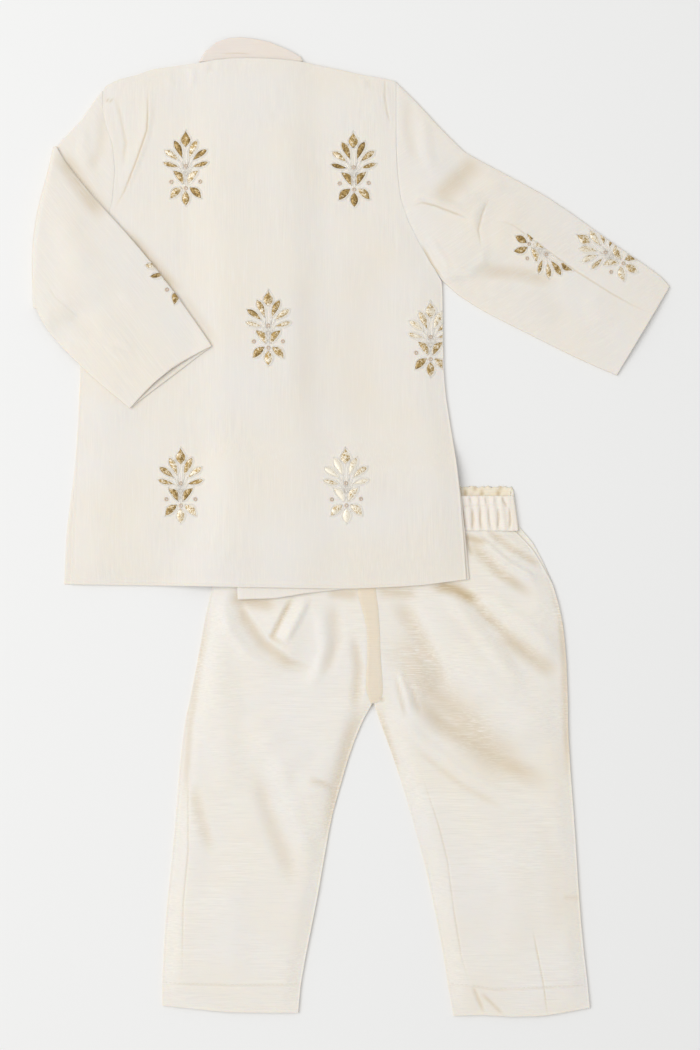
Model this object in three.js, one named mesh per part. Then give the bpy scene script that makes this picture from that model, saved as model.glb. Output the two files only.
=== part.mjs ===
// A toddler's sherwani set laid flat, face down: an open-fronted coat with a band collar lies on its
// trousers, the wearer's left sleeve folded over the back and the right one out to the side.
// Millimetres, +Z up, +Y towards the collar. The origin is the middle of the set's underside.

import * as THREE from 'three';

// Cloth and making
const CLOTH = 1.0;
const SEAM_GAP = 0.3;
const LAYER_GAP = 0.45;
const FOLD_GAP = 0.7;

// Coat body
const COAT_HEM = -46;
const SLIT_TOP = 53;
const UNDERARM = 197;
const SHOULDER_TIP = 350;
const LIFT_START = 245;
const COAT_LOFT = 1.6;
const CENTRE_AT_HEM = -68;
const CENTRE_AT_NECK = -80;
const FRONT_LAP = 22;
const BACK_COLUMNS = 18;
const BACK_EDGE_SHARE = 0.008;
const BACK_WIDTH = 300;
const COAT_SIDE_SLOPE = 16;
const COAT_TOP_SLOPE = 14;
const COAT_HEM_SLOPE = 26;
const COAT_HEM_MARGIN = 8;
const BACK_OVER_LAP = 0.81;
const FRONT_OVER_FRONT = 0.63;
const HEM_BEND_TOP = 20;
const LAP_SLOPE = 30;
const LAP_MARGIN = 4;

// Neck and collar
const NECK_MIDDLE = -79.4;
const NECK_HALF_WIDTH = 41.5;
const NECK_POINT_Y = 373;
const FRONT_NECK_DEPTH = 40;
const COLLAR_CLOTH = 1.1;
const COLLAR_TURN = 0.72;
const COLLAR_CROWN = 0.15;
const COLLAR_FRONT_Y = 350;

// Buttons, sewn to the outer front, which lies face down
const BUTTONS = 7;
const BUTTON_RADIUS = 5;
const BUTTON_THICKNESS = 1.3;
const FIRST_BUTTON_Y = 306;
const BUTTON_SPACING = 40;
const BUTTON_MARGIN = 3;
const BUTTON_SLOPE = 14;

// Sleeves
const SLEEVE_EDGE = 0.4;
const SLEEVE_GAP = 0.36;
const RIGHT_SLEEVE_LOFT = 3.6;
const LEFT_ARM_LOFT = 2.0;
const FOREARM_SLOPE = 26;
const FOREARM_MARGIN = 8;
const FOREARM_LOWEST = 1.2;
const CUFF_DRAWN_BACK = 5.5;

// Trousers
const TROUSER_WAIST = -3;
const TROUSER_HEM = -383;
const TROUSER_LOFT = 1.9;
const CROTCH = -141;
const LEG_EDGE_SLOPE = 14;
const LEG_EDGE_SHARE = 0.018;
const LEG_HEM_SLOPE = 30;
const HEM_BEND_START = -330;
const WAIST_BEND_START = -62;
const HIP_SLOPE = 28;
const HIP_MARGIN = 4;
const BACK_OVER_HIP = 5;

// Elastic waistband
const BAND_HEIGHT = 28;
const BAND_CLOTH = 1.8;
const BAND_RISE = 7;
const BAND_LEFT = -88;
const BAND_RIGHT = 134;
const PUCKERS = 32;
const PUCKER_DEPTH = 1.1;
const PUCKER_EDGE_SHARE = 0.45;
const PUCKER_STEPS = 4;
const BAND_BOTTOM_STEPS = 20;
const BAND_END_TUCK = 0.5;
const BAND_TAPER_LEFT = 5;
const BAND_TAPER_RIGHT = 4;
const BAND_END_PUCKERS = 16;
const BAND_CLEARANCE = 1.4;

const IVORY = new THREE.MeshStandardMaterial({ color: 0xeae3d9, roughness: 0.7, metalness: 0 });
const PALE_IVORY = new THREE.MeshStandardMaterial({ color: 0xebe4da, roughness: 0.55, metalness: 0 });
const BLUSH = new THREE.MeshStandardMaterial({ color: 0xe7ded6, roughness: 0.7, metalness: 0 });
const GOLD = new THREE.MeshStandardMaterial({ color: 0xb99b5a, roughness: 0.35, metalness: 1 });

// Coat body from the hem up, each row at its height, with the side or armhole edge left and right
const coatSides = [
  { y: COAT_HEM, left: -224, right: 92 },
  { y: -15, left: -223, right: 90 },
  { y: 25, left: -221, right: 87 },
  { y: SLIT_TOP, left: -220, right: 84 },
  { y: 78, left: -218, right: 80 },
  { y: 102, left: -217, right: 76 },
  { y: 126, left: -216, right: 74 },
  { y: UNDERARM, left: -214, right: 73 },
  { y: 212, left: -208, right: 63 },
  { y: 228, left: -201, right: 54 },
  { y: 245, left: -194, right: 45.5 },
  { y: 262, left: -190, right: 39.5 },
  { y: 282, left: -188, right: 37 },
  { y: 302, left: -190, right: 36 },
  { y: 318, left: -195, right: 36 },
  { y: 335, left: -198, right: 36 },
  { y: SHOULDER_TIP, left: -198, right: 36 },
];

// Shoulders and back neck, from left to right
const coatTop = [
  { x: -199, y: 347.5 },
  { x: -194, y: 354.5 },
  { x: -189, y: 357.7 },
  { x: -178.5, y: 358.6 },
  { x: -158, y: 366 },
  { x: -121, y: 371 },
  { x: -99, y: 374.5 },
  { x: -73, y: 374.7 },
  { x: -42, y: 372.5 },
  { x: -24.5, y: 368.6 },
  { x: -9, y: 365.6 },
  { x: 8, y: 361.3 },
  { x: 20, y: 359.8 },
  { x: 32.6, y: 357.4 },
  { x: 37, y: 355 },
];

const backHem = [
  { x: -224, y: -45.5 },
  { x: -115, y: -47 },
  { x: -1, y: -49 },
  { x: 53, y: -46.5 },
  { x: 92, y: -41.5 },
];

const leftFrontHem = [
  { x: -229, y: -45.5 },
  { x: -120, y: -46.5 },
  { x: -46, y: -48 },
];

const rightFrontHem = [
  { x: -92, y: -57.5 },
  { x: -58, y: -56.5 },
  { x: -40, y: -53 },
  { x: 2, y: -48.5 },
  { x: 95, y: -41.5 },
];

// How far each front shows beyond the back at the side slits
const slitSpread = [
  { y: COAT_HEM, left: -5, right: 2.4 },
  { y: 0, left: -4.5, right: 1.5 },
  { y: SLIT_TOP, left: 0, right: 0 },
];

// Right sleeve from the armhole to the cuff: its top edge, its under edge and how far it stands up
const rightSleeve = [
  { topX: 36, topY: 355.5, underX: 73, underY: 197, loft: 1.6, bow: 1 },
  { topX: 52, topY: 340, underX: 85, underY: 186, loft: 2.4, bow: 0.75 },
  { topX: 70, topY: 320.3, underX: 99, underY: 177, loft: 3.0, bow: 0.45 },
  { topX: 90, topY: 300, underX: 113, underY: 169, loft: 3.4, bow: 0.2 },
  { topX: 111, topY: 288.6, underX: 127, underY: 162, loft: 3.6, bow: 0.05 },
  { topX: 133, topY: 277, underX: 140, underY: 155.5, loft: 3.6, bow: 0 },
  { topX: 155, topY: 265, underX: 153, underY: 149, loft: 3.4, bow: 0 },
  { topX: 176, topY: 251, underX: 165, underY: 143, loft: 3.2, bow: 0 },
  { topX: 196, topY: 236.5, underX: 177, underY: 137, loft: 3.0, bow: 0 },
  { topX: 215, topY: 223, underX: 188, underY: 132, loft: 2.8, bow: 0 },
  { topX: 233, topY: 211, underX: 199, underY: 127, loft: 2.6, bow: 0 },
  { topX: 247, topY: 201, underX: 208, underY: 123.3, loft: 2.4, bow: 0 },
  { topX: 254.5, topY: 192.5, underX: 212, underY: 121.5, loft: 2.2, bow: 0 },
];

// Left upper arm from the armhole to the elbow fold
const leftUpperArm = [
  { topX: -198, topY: 348.9, underX: -214, underY: 197, loft: 1.6, bow: 1 },
  { topX: -206, topY: 339, underX: -222, underY: 192.5, loft: 1.8, bow: 0.7 },
  { topX: -214.5, topY: 326, underX: -230, underY: 188, loft: 2.0, bow: 0.4 },
  { topX: -224, topY: 316, underX: -238, underY: 183.5, loft: 2.0, bow: 0.1 },
  { topX: -231, topY: 309, underX: -245, underY: 178.5, loft: 2.0, bow: -0.15 },
  { topX: -234.5, topY: 304, underX: -250.8, underY: 174.8, loft: 2.0, bow: -0.28 },
];

// Left forearm from the elbow fold back over the coat to the cuff
const leftForearm = [
  { topX: -229, topY: 293, underX: -247.5, underY: 167, loft: 2.0, bow: -0.2 },
  { topX: -218, topY: 278.5, underX: -242, underY: 157.5, loft: 2.2, bow: -0.08 },
  { topX: -205, topY: 263, underX: -234.5, underY: 148.5, loft: 2.6, bow: 0 },
  { topX: -189, topY: 246, underX: -226, underY: 139.5, loft: 2.8, bow: 0 },
  { topX: -172, topY: 227, underX: -216, underY: 129.5, loft: 3.0, bow: 0 },
  { topX: -155, topY: 206.5, underX: -205.5, underY: 119.5, loft: 2.8, bow: 0 },
  { topX: -139, topY: 185.5, underX: -195, underY: 110.5, loft: 2.6, bow: 0 },
  { topX: -124, topY: 164.5, underX: -185, underY: 102.5, loft: 2.4, bow: 0 },
  { topX: -114, topY: 150, underX: -178.5, underY: 97, loft: 2.2, bow: 0 },
  { topX: -110.5, topY: 144.5, underX: -176, underY: 95, loft: 2.0, bow: 0 },
];

// Trousers from the waist down: outer edges and, below the crotch, the two inner edges
const trouserEdges = [
  { y: TROUSER_HEM, outerLeft: -150.5, innerLeft: -42, innerRight: 82, outerRight: 191 },
  { y: -362, outerLeft: -150.5, innerLeft: -40, innerRight: 78, outerRight: 189 },
  { y: -330, outerLeft: -149, innerLeft: -33.5, innerRight: 72, outerRight: 185 },
  { y: -298, outerLeft: -146.5, innerLeft: -27, innerRight: 65.5, outerRight: 182.5 },
  { y: -266, outerLeft: -143, innerLeft: -21.5, innerRight: 58.5, outerRight: 180.5 },
  { y: -234, outerLeft: -140, innerLeft: -16, innerRight: 49.5, outerRight: 178.5 },
  { y: -202, outerLeft: -137.5, innerLeft: -7, innerRight: 40, outerRight: 176 },
  { y: -178, outerLeft: -135.5, innerLeft: 0, innerRight: 32, outerRight: 174.5 },
  { y: -160, outerLeft: -133, innerLeft: 7, innerRight: 25, outerRight: 173.5 },
  { y: -148, outerLeft: -131, innerLeft: 13, innerRight: 21, outerRight: 173.5 },
  { y: CROTCH, outerLeft: -129, innerLeft: 17.5, innerRight: 18.5, outerRight: 173.5 },
  { y: -100, outerLeft: -121, innerLeft: 18, innerRight: 18, outerRight: 172 },
  { y: -70, outerLeft: -116, innerLeft: 17, innerRight: 17, outerRight: 168.5 },
  { y: -46, outerLeft: -110, innerLeft: 18, innerRight: 18, outerRight: 161.5 },
  { y: -20, outerLeft: -98, innerLeft: 22, innerRight: 22, outerRight: 147.5 },
  { y: TROUSER_WAIST, outerLeft: -86, innerLeft: 24, innerRight: 24, outerRight: 131.5 },
];

const leftLegHem = [
  { x: -152, y: -382 },
  { x: -133, y: -384 },
  { x: -98, y: -387.5 },
  { x: -42, y: -388 },
];

const rightLegHem = [
  { x: 80, y: -390.5 },
  { x: 107, y: -389.5 },
  { x: 126, y: -391 },
  { x: 154, y: -390.5 },
  { x: 191, y: -384 },
];

// The largest folds of the upper layers: from one end to the other, half width and height
const trouserFolds = [
  { fromX: 84, fromY: -52, toX: 168, toY: -122, half: 16, height: -1.5 },
  { fromX: 60, fromY: -66, toX: 150, toY: -160, half: 15, height: 2.4 },
  { fromX: 40, fromY: -100, toX: 120, toY: -190, half: 14, height: -1.4 },
  { fromX: 112, fromY: -62, toX: 166, toY: -96, half: 12, height: 1.6 },
  { fromX: -96, fromY: -52, toX: -40, toY: -112, half: 14, height: -1.4 },
  { fromX: -62, fromY: -56, toX: -52, toY: -98, half: 11, height: 2.6 },
  { fromX: -30, fromY: -205, toX: -75, toY: -160, half: 14, height: 1.6 },
  { fromX: 50, fromY: -125, toX: 56, toY: -160, half: 10, height: 1.6 },
];

const rightSleeveFolds = [
  { fromX: 95, fromY: 276, toX: 70, toY: 258, half: 14, height: -1.5 },
  { fromX: 52, fromY: 258, toX: 94, toY: 248, half: 11, height: 2.0 },
  { fromX: 64, fromY: 204, toX: 102, toY: 206, half: 12, height: 1.8 },
  { fromX: 112, fromY: 208, toX: 152, toY: 202, half: 18, height: -1.5 },
];

const forearmFolds = [
  { fromX: -232, fromY: 262, toX: -214, toY: 200, half: 16, height: 1.0 },
  { fromX: -200, fromY: 210, toX: -168, toY: 150, half: 18, height: -0.8 },
];

// Back of the collar from left to right, along its seam and its free edge
const collarBack = [
  { seamX: -112, edgeX: -107.5, edgeY: 387.8 },
  { seamX: -102, edgeX: -97.5, edgeY: 390.8 },
  { seamX: -90, edgeX: -88, edgeY: 391.3 },
  { seamX: -78, edgeX: -77, edgeY: 390.3 },
  { seamX: -66, edgeX: -65.5, edgeY: 387.8 },
  { seamX: -54, edgeX: -54.5, edgeY: 383.3 },
  { seamX: -46, edgeX: -47, edgeY: 379.8 },
];

// Where the collar turns over at each side, and the free edge of its front half there
const collarSides = {
  left: { sign: -1, seamX: -120.2, seamY: 372, edgeX: -114.5, edgeY: 380.8, freeX: 33.5, freeY: 384 },
  right: { sign: 1, seamX: -39.4, seamY: 372.6, edgeX: -41.6, edgeY: 376.2, freeX: 37.8, freeY: 378 },
};

function mix(from, to, share) {
  return from + (to - from) * share;
}

function smooth(value) {
  const part = Math.min(1, Math.max(0, value));
  return part * part * (3 - 2 * part);
}

// A value of a table's column at a place between its rows
function follow(table, by, column, place) {
  const rising = table[0][by] < table[table.length - 1][by];
  const rows = rising ? table : [...table].reverse();
  if (place <= rows[0][by]) {
    return rows[0][column];
  }
  for (let row = 1; row < rows.length; row += 1) {
    if (place <= rows[row][by]) {
      const below = rows[row - 1];
      const share = (place - below[by]) / (rows[row][by] - below[by]);
      return mix(below[column], rows[row][column], share);
    }
  }
  return rows[rows.length - 1][column];
}

// Height of a set of soft folds at a point
function foldHeight(folds, x, y) {
  let height = 0;
  for (const fold of folds) {
    const alongX = fold.toX - fold.fromX;
    const alongY = fold.toY - fold.fromY;
    const length = Math.hypot(alongX, alongY);
    const along = ((x - fold.fromX) * alongX + (y - fold.fromY) * alongY) / length;
    const aside = Math.abs((x - fold.fromX) * alongY - (y - fold.fromY) * alongX) / length;
    const ends = smooth(1 - Math.max(-along, along - length, 0) / fold.half);
    height += fold.height * ends * smooth(1 - aside / fold.half);
  }
  return height;
}

// A closed wall between two like grids of points; a ring's columns close on themselves
function wall(name, material, outer, inner, ring = false) {
  const rows = outer.length;
  const columns = outer[0].length;
  const positions = [...outer.flat(), ...inner.flat()].flatMap((point) => [point.x, point.y, point.z]);
  const innerStart = rows * columns;
  const indices = [];
  const quad = (a, b, c, d) => indices.push(a, b, c, a, c, d);
  const at = (row, column) => row * columns + (column % columns);
  const steps = ring ? columns : columns - 1;
  for (let row = 0; row < rows - 1; row += 1) {
    for (let column = 0; column < steps; column += 1) {
      const corners = [at(row, column), at(row, column + 1), at(row + 1, column + 1), at(row + 1, column)];
      quad(...corners);
      quad(...corners.map((corner) => corner + innerStart).reverse());
    }
    if (!ring) {
      const last = columns - 1;
      quad(at(row, 0), at(row + 1, 0), at(row + 1, 0) + innerStart, at(row, 0) + innerStart);
      quad(at(row + 1, last), at(row, last), at(row, last) + innerStart, at(row + 1, last) + innerStart);
    }
  }
  for (let column = 0; column < steps; column += 1) {
    const top = rows - 1;
    quad(at(0, column + 1), at(0, column), at(0, column) + innerStart, at(0, column + 1) + innerStart);
    const [near, far] = [at(top, column), at(top, column + 1)];
    quad(near, far, far + innerStart, near + innerStart);
  }
  const geometry = new THREE.BufferGeometry();
  geometry.setAttribute('position', new THREE.Float32BufferAttribute(positions, 3));
  geometry.setIndex(facingOut(positions, indices));
  geometry.computeVertexNormals();
  const mesh = new THREE.Mesh(geometry, material);
  mesh.name = name;
  return mesh;
}

// The same triangles, turned over if they enclose a negative volume
function facingOut(positions, indices) {
  const corner = (index) => new THREE.Vector3().fromArray(positions, index * 3);
  let volume = 0;
  for (let start = 0; start < indices.length; start += 3) {
    const [a, b, c] = indices.slice(start, start + 3).map(corner);
    volume += a.dot(b.cross(c));
  }
  return volume > 0 ? indices : [...indices].reverse();
}

// A wall of cloth lying flat, from the height of its underside
function layer(name, material, outline, underside) {
  const place = (point) => new THREE.Vector3(point.x, point.y, underside(point));
  const raise = (point) => new THREE.Vector3(point.x, point.y, point.z + CLOTH);
  const lower = outline.map((row) => row.map(place));
  const upper = lower.map((row) => row.map(raise));
  return wall(name, material, upper, lower);
}

// Shares across a panel, close together at the turned edges
function acrossSteps(count, nearEdge) {
  const steps = [0, nearEdge];
  for (let step = 1; step < count; step += 1) {
    steps.push(step / count);
  }
  return [...steps, 1 - nearEdge, 1];
}

// The line down the middle of the coat, where the fronts meet
function centreLine(y) {
  return mix(CENTRE_AT_HEM, CENTRE_AT_NECK, (y - COAT_HEM) / (NECK_POINT_Y - COAT_HEM));
}

// How high the trousers under the coat stand, with a soft slope outside their edge
function trousersUnder(x, y, spread = 0) {
  const slopeStart = HIP_MARGIN + spread;
  const slope = HIP_SLOPE + spread;
  const edge = follow(trouserEdges, 'y', 'outerLeft', Math.min(y, TROUSER_WAIST));
  const side = smooth((x - edge + slopeStart + slope) / slope);
  const waist = TROUSER_WAIST + BAND_RISE + BAND_HEIGHT;
  const top = smooth((waist + slopeStart + slope - y) / slope);
  const legTop = 2 * (CLOTH + LAYER_GAP) + TROUSER_LOFT;
  const bandTop = 2 * BAND_CLOTH + PUCKER_DEPTH + BAND_CLEARANCE;
  return side * top * mix(legTop, bandTop, smooth((y - TROUSER_WAIST + slope) / slope));
}

// The buttons hold the outer front up along the middle
function buttonRidge(x, y) {
  const reach = BUTTON_RADIUS + BUTTON_MARGIN + BUTTON_SLOPE;
  const lastButton = FIRST_BUTTON_Y - (BUTTONS - 1) * BUTTON_SPACING;
  const fromLast = smooth((y - lastButton + reach) / BUTTON_SLOPE);
  const toFirst = smooth((FIRST_BUTTON_Y + reach - y) / BUTTON_SLOPE);
  const aside = Math.abs(x - centreLine(y));
  return (BUTTON_THICKNESS + SEAM_GAP) * fromLast * toFirst * smooth((reach - aside) / BUTTON_SLOPE);
}

// Rows of the coat body: below the underarm, then one for each armhole point
const skirtRows = [COAT_HEM, -43, -30, -12, 6, 24, 40, SLIT_TOP, 68, 86, 104, 126, 150, 174];
const armholeRows = coatSides.filter((row) => row.y >= UNDERARM).map((row) => row.y);
const coatRows = [...skirtRows, ...armholeRows];

function coatEdge(side, y) {
  return follow(coatSides, 'y', side, y);
}

// A row's true height: hem and top edges bend, the rows between them stay straight
function bent(y, topY, hemY) {
  const lift = (topY - SHOULDER_TIP) * smooth((y - LIFT_START) / (SHOULDER_TIP - LIFT_START));
  const drop = (hemY - COAT_HEM) * smooth((HEM_BEND_TOP - y) / (HEM_BEND_TOP - COAT_HEM));
  return y + lift + drop;
}

function frontNeck(x) {
  const aside = Math.min(1, Math.abs(x - NECK_MIDDLE) / NECK_HALF_WIDTH);
  const neckline = NECK_POINT_Y - FRONT_NECK_DEPTH * Math.sqrt(1 - aside * aside);
  return Math.min(neckline, follow(coatTop, 'x', 'y', x));
}

function armholePoint(side, row) {
  const x = coatEdge(side, row);
  return { x, y: bent(row, follow(coatTop, 'x', 'y', x), COAT_HEM) };
}

// Underside of the coat back, over the fronts and whatever they lie on
function backUnderside(x, y, sideShare) {
  const fromMiddle = Math.abs(x - centreLine(y));
  const lapped = smooth((FRONT_LAP + LAP_MARGIN + LAP_SLOPE - fromMiddle) / LAP_SLOPE);
  const overLap = CLOTH + BACK_OVER_LAP + buttonRidge(centreLine(y), y);
  const overFronts = CLOTH + LAYER_GAP + lapped * overLap;
  const nearTop = smooth((follow(coatTop, 'x', 'y', x) - y) / COAT_TOP_SLOPE);
  const nearHem = smooth((y - COAT_HEM + COAT_HEM_MARGIN) / COAT_HEM_SLOPE);
  return trousersUnder(x, y, BACK_OVER_HIP) + overFronts + COAT_LOFT * sideShare * nearTop * nearHem;
}

// How much of the loft the back has at a row and a place across it
function sideLoft(row, across) {
  const inward = Math.min(across, 1 - across) * BACK_WIDTH;
  const alongArmhole = Math.max(0, (row - UNDERARM) / (SHOULDER_TIP - UNDERARM));
  const armhole = Math.sin(Math.PI * Math.min(1, alongArmhole));
  return Math.max(smooth(inward / COAT_SIDE_SLOPE), armhole);
}

function makeBack() {
  const steps = acrossSteps(BACK_COLUMNS, BACK_EDGE_SHARE);
  const outline = coatRows.map((row) => steps.map((across) => {
    const x = mix(coatEdge('left', row), coatEdge('right', row), across);
    const y = bent(row, follow(coatTop, 'x', 'y', x), follow(backHem, 'x', 'y', x));
    return { x, y, loft: sideLoft(row, across) };
  }));
  return layer('coat_back', IVORY, outline, (point) => backUnderside(point.x, point.y, point.loft));
}

// Columns of a front by their distance from the middle: the lap, then the neckline's curve
const lapColumns = [FRONT_LAP, 8, 0, -8, -FRONT_LAP];
const neckColumns = [-31, -38, -NECK_HALF_WIDTH];
const sideShares = [0.14, 0.32, 0.5, 0.68, 0.84, 0.96, 1];

function makeFront(name, side, hem, underside) {
  const sign = side === 'left' ? 1 : -1;
  const outline = coatRows.map((row) => {
    const sideX = coatEdge(side, row) + follow(slitSpread, 'y', side, row);
    const middle = centreLine(row);
    const inner = [...lapColumns, ...neckColumns].map((column) => middle + sign * column);
    const neckX = inner[inner.length - 1];
    const columns = [...inner, ...sideShares.map((share) => mix(neckX, sideX, share))];
    const points = columns.map((x) => ({ x, y: bent(row, frontNeck(x), follow(hem, 'x', 'y', x)) }));
    return side === 'left' ? points.reverse() : points;
  });
  return layer(name, IVORY, outline, underside);
}

function leftFrontUnderside(point) {
  return trousersUnder(point.x, point.y) + buttonRidge(point.x, point.y);
}

function rightFrontUnderside(point) {
  const leftFrontEdge = centreLine(point.y) + FRONT_LAP;
  const over = smooth((leftFrontEdge + LAP_SLOPE - point.x) / (LAP_SLOPE - LAP_MARGIN));
  const lift = CLOTH + FRONT_OVER_FRONT + buttonRidge(point.x, point.y);
  return trousersUnder(point.x, point.y) + over * lift;
}

// Half of the collar's front, round the neckline from the middle to the shoulder
function collarFront({ sign, freeX, freeY }) {
  const columns = [-1, ...lapColumns.slice(3), ...neckColumns.slice(0, 2)];
  return columns.map((column) => {
    const turn = Math.acos(Math.min(1, -column / NECK_HALF_WIDTH));
    const alongNeck = centreLine(SHOULDER_TIP) - sign * column;
    return {
      seamX: alongNeck - sign * 2 * SEAM_GAP * Math.cos(turn),
      seamY: frontNeck(alongNeck) + 2 * SEAM_GAP,
      edgeX: NECK_MIDDLE + sign * freeX * Math.cos(turn),
      edgeY: mix(freeY, COLLAR_FRONT_Y, Math.sin(turn)),
      z: COLLAR_CLOTH / 2,
    };
  });
}

// The collar's half turn at the side of the neck, from the front's level up to the back's
function collarTurn({ sign, seamX, seamY, edgeX, edgeY }) {
  return [0, 0.25, 0.5, 0.75, 1].map((share) => {
    const out = sign * COLLAR_TURN * Math.sin(Math.PI * share);
    const z = COLLAR_CLOTH / 2 + COLLAR_TURN * (1 - Math.cos(Math.PI * share));
    return { seamX: seamX + out, seamY, edgeX: edgeX + out, edgeY, z };
  });
}

// Collar band: along its seam edge and free edge, from the middle front round the neck and back
function makeCollar() {
  const backLevel = COLLAR_CLOTH / 2 + 2 * COLLAR_TURN;
  const back = collarBack.map((row) => (
    { ...row, seamY: follow(coatTop, 'x', 'y', row.seamX) + SEAM_GAP, z: backLevel }));
  const stations = [
    ...collarFront(collarSides.left),
    ...collarTurn(collarSides.left),
    ...back,
    ...collarTurn(collarSides.right).reverse(),
    ...collarFront(collarSides.right).reverse(),
  ];
  const middle = stations.map((row) => [0, 0.5, 1].map((share) => {
    const z = row.z + COLLAR_CROWN * Math.sin(Math.PI * share);
    return new THREE.Vector3(mix(row.seamX, row.edgeX, share), mix(row.seamY, row.edgeY, share), z);
  }));
  return wall('coat_collar', BLUSH, ...bothSides(middle, COLLAR_CLOTH));
}

// The two faces of a wall on either side of its middle surface
function bothSides(middle, thickness) {
  const normals = middle.map((row, r) => row.map((point, c) => {
    const ahead = middle[Math.min(r + 1, middle.length - 1)][c];
    const behind = middle[Math.max(r - 1, 0)][c];
    const right = row[Math.min(c + 1, row.length - 1)];
    const left = row[Math.max(c - 1, 0)];
    return ahead.clone().sub(behind).cross(right.clone().sub(left)).normalize();
  }));
  const shifted = (share) => middle.map((row, r) => row.map((point, c) => (
    point.clone().addScaledVector(normals[r][c], thickness * share))));
  return [shifted(0.5), shifted(-0.5)];
}

// Shares across a sleeve, one for each armhole point, from the top edge to the under edge
const armholeHeight = SHOULDER_TIP - UNDERARM;
const sleeveShares = armholeRows.map((row) => (SHOULDER_TIP - row) / armholeHeight).reverse();

// A place across a sleeve's section; the armhole's curve fades out along the sleeve
function sleevePlace(side, section, share) {
  const gap = (side === 'left' ? -1 : 1) * SLEEVE_GAP;
  const row = mix(SHOULDER_TIP, UNDERARM, share);
  const onArmhole = armholePoint(side, row);
  const tip = armholePoint(side, SHOULDER_TIP);
  const pit = armholePoint(side, UNDERARM);
  const bowX = onArmhole.x - mix(tip.x, pit.x, share);
  const bowY = onArmhole.y - mix(tip.y, pit.y, share);
  return {
    x: mix(section.topX, section.underX, share) + bowX * section.bow + gap,
    y: mix(section.topY, section.underY, share) + bowY * section.bow,
  };
}

// A sleeve's ring: over the top layer to the under edge and back along the bottom layer
function sleeveRing(side, section, inset, place) {
  const width = Math.hypot(section.topX - section.underX, section.topY - section.underY);
  const edge = (SLEEVE_EDGE + inset) / width;
  const tuck = inset / width;
  const top = sleeveShares.map((share) => Math.min(1 - edge, Math.max(edge, share)));
  const ring = [
    ...top.map((share) => ({ share, level: 1 })),
    { share: 1 - tuck, level: 0.5 },
    ...[...top].reverse().map((share) => ({ share, level: 0 })),
    { share: tuck, level: 0.5 },
  ];
  return ring.map(({ share, level }) => {
    const height = 2 * CLOTH + LAYER_GAP + section.loft * Math.sin(Math.PI * share);
    const depth = mix(inset, height - inset, level);
    const flat = sleevePlace(side, section, share);
    return place(flat, depth, height, level);
  });
}

function makeRightSleeve() {
  const ring = (section, inset) => sleeveRing('right', section, inset, (flat, depth, height, level) => {
    const share = level * section.loft / RIGHT_SLEEVE_LOFT;
    const z = depth + share * foldHeight(rightSleeveFolds, flat.x, flat.y);
    return new THREE.Vector3(flat.x, flat.y, z);
  });
  const rings = (inset) => rightSleeve.map((section) => ring(section, inset));
  return wall('sleeve_right', IVORY, rings(0), rings(CLOTH), true);
}

// What the left forearm rests on: the upper arm, then the coat back
function underForearm(x, y) {
  const armpit = leftUpperArm[0];
  const elbow = leftUpperArm[leftUpperArm.length - 1];
  const slope = (armpit.underY - elbow.underY) / (armpit.underX - elbow.underX);
  const underEdge = elbow.underY + slope * (x - elbow.underX);
  const reach = FOREARM_SLOPE + FOREARM_MARGIN;
  const onArm = smooth((y - underEdge + reach) / FOREARM_SLOPE);
  const pastSide = smooth((x - coatEdge('left', Math.min(y, UNDERARM)) + reach) / FOREARM_SLOPE);
  const flatSleeve = 2 * CLOTH + LAYER_GAP;
  const coatShare = y > UNDERARM ? 1 : smooth((x - coatEdge('left', y)) / FOREARM_SLOPE);
  const overCoat = mix(flatSleeve, backUnderside(x, y, 1) + CLOTH, coatShare);
  return Math.max(onArm * (flatSleeve + LEFT_ARM_LOFT), pastSide * overCoat, FOREARM_LOWEST) + FOLD_GAP;
}

// Rings round the elbow fold, which carries the sleeve from the upper arm back over it
function elbowTurn(inset) {
  const fold = leftUpperArm[leftUpperArm.length - 1];
  const foldLength = Math.hypot(fold.underX - fold.topX, fold.underY - fold.topY);
  const outX = (fold.underY - fold.topY) / foldLength;
  const outY = -(fold.underX - fold.topX) / foldLength;
  return [0.2, 0.4, 0.6, 0.8, 1].map((turn) => sleeveRing('left', fold, inset, (flat, depth, height) => {
    const level = height + FOLD_GAP / 2;
    const out = (level - depth) * Math.sin(Math.PI * turn);
    const z = level - (level - depth) * Math.cos(Math.PI * turn);
    return new THREE.Vector3(flat.x + outX * out, flat.y + outY * out, z);
  }));
}

// One ring of the forearm, which lies upside down on what is under it
function forearmRing(section, station, inset) {
  return sleeveRing('left', section, inset, (flat, depth, height) => {
    const settled = smooth((station + 1) / 3);
    const base = mix(height + FOLD_GAP, underForearm(flat.x, flat.y), settled);
    const upper = (height - depth) / height;
    const drawn = station === leftForearm.length - 1 ? cuffDrawn(flat, upper) : { x: 0, y: 0 };
    const z = base + height - depth + upper * foldHeight(forearmFolds, flat.x, flat.y);
    return new THREE.Vector3(flat.x + drawn.x, flat.y + drawn.y, z);
  });
}

// The folded cuff's upper layer is drawn back, so its mouth shows
function cuffDrawn(flat, upper) {
  const cuff = leftForearm[leftForearm.length - 1];
  const acrossX = cuff.topX - cuff.underX;
  const acrossY = cuff.topY - cuff.underY;
  const width = Math.hypot(acrossX, acrossY);
  const share = Math.min(1, Math.hypot(flat.x - cuff.underX, flat.y - cuff.underY) / width);
  const back = CUFF_DRAWN_BACK * Math.sin(Math.PI * share) * smooth(upper);
  return { x: -back * acrossY / width, y: back * acrossX / width };
}

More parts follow.
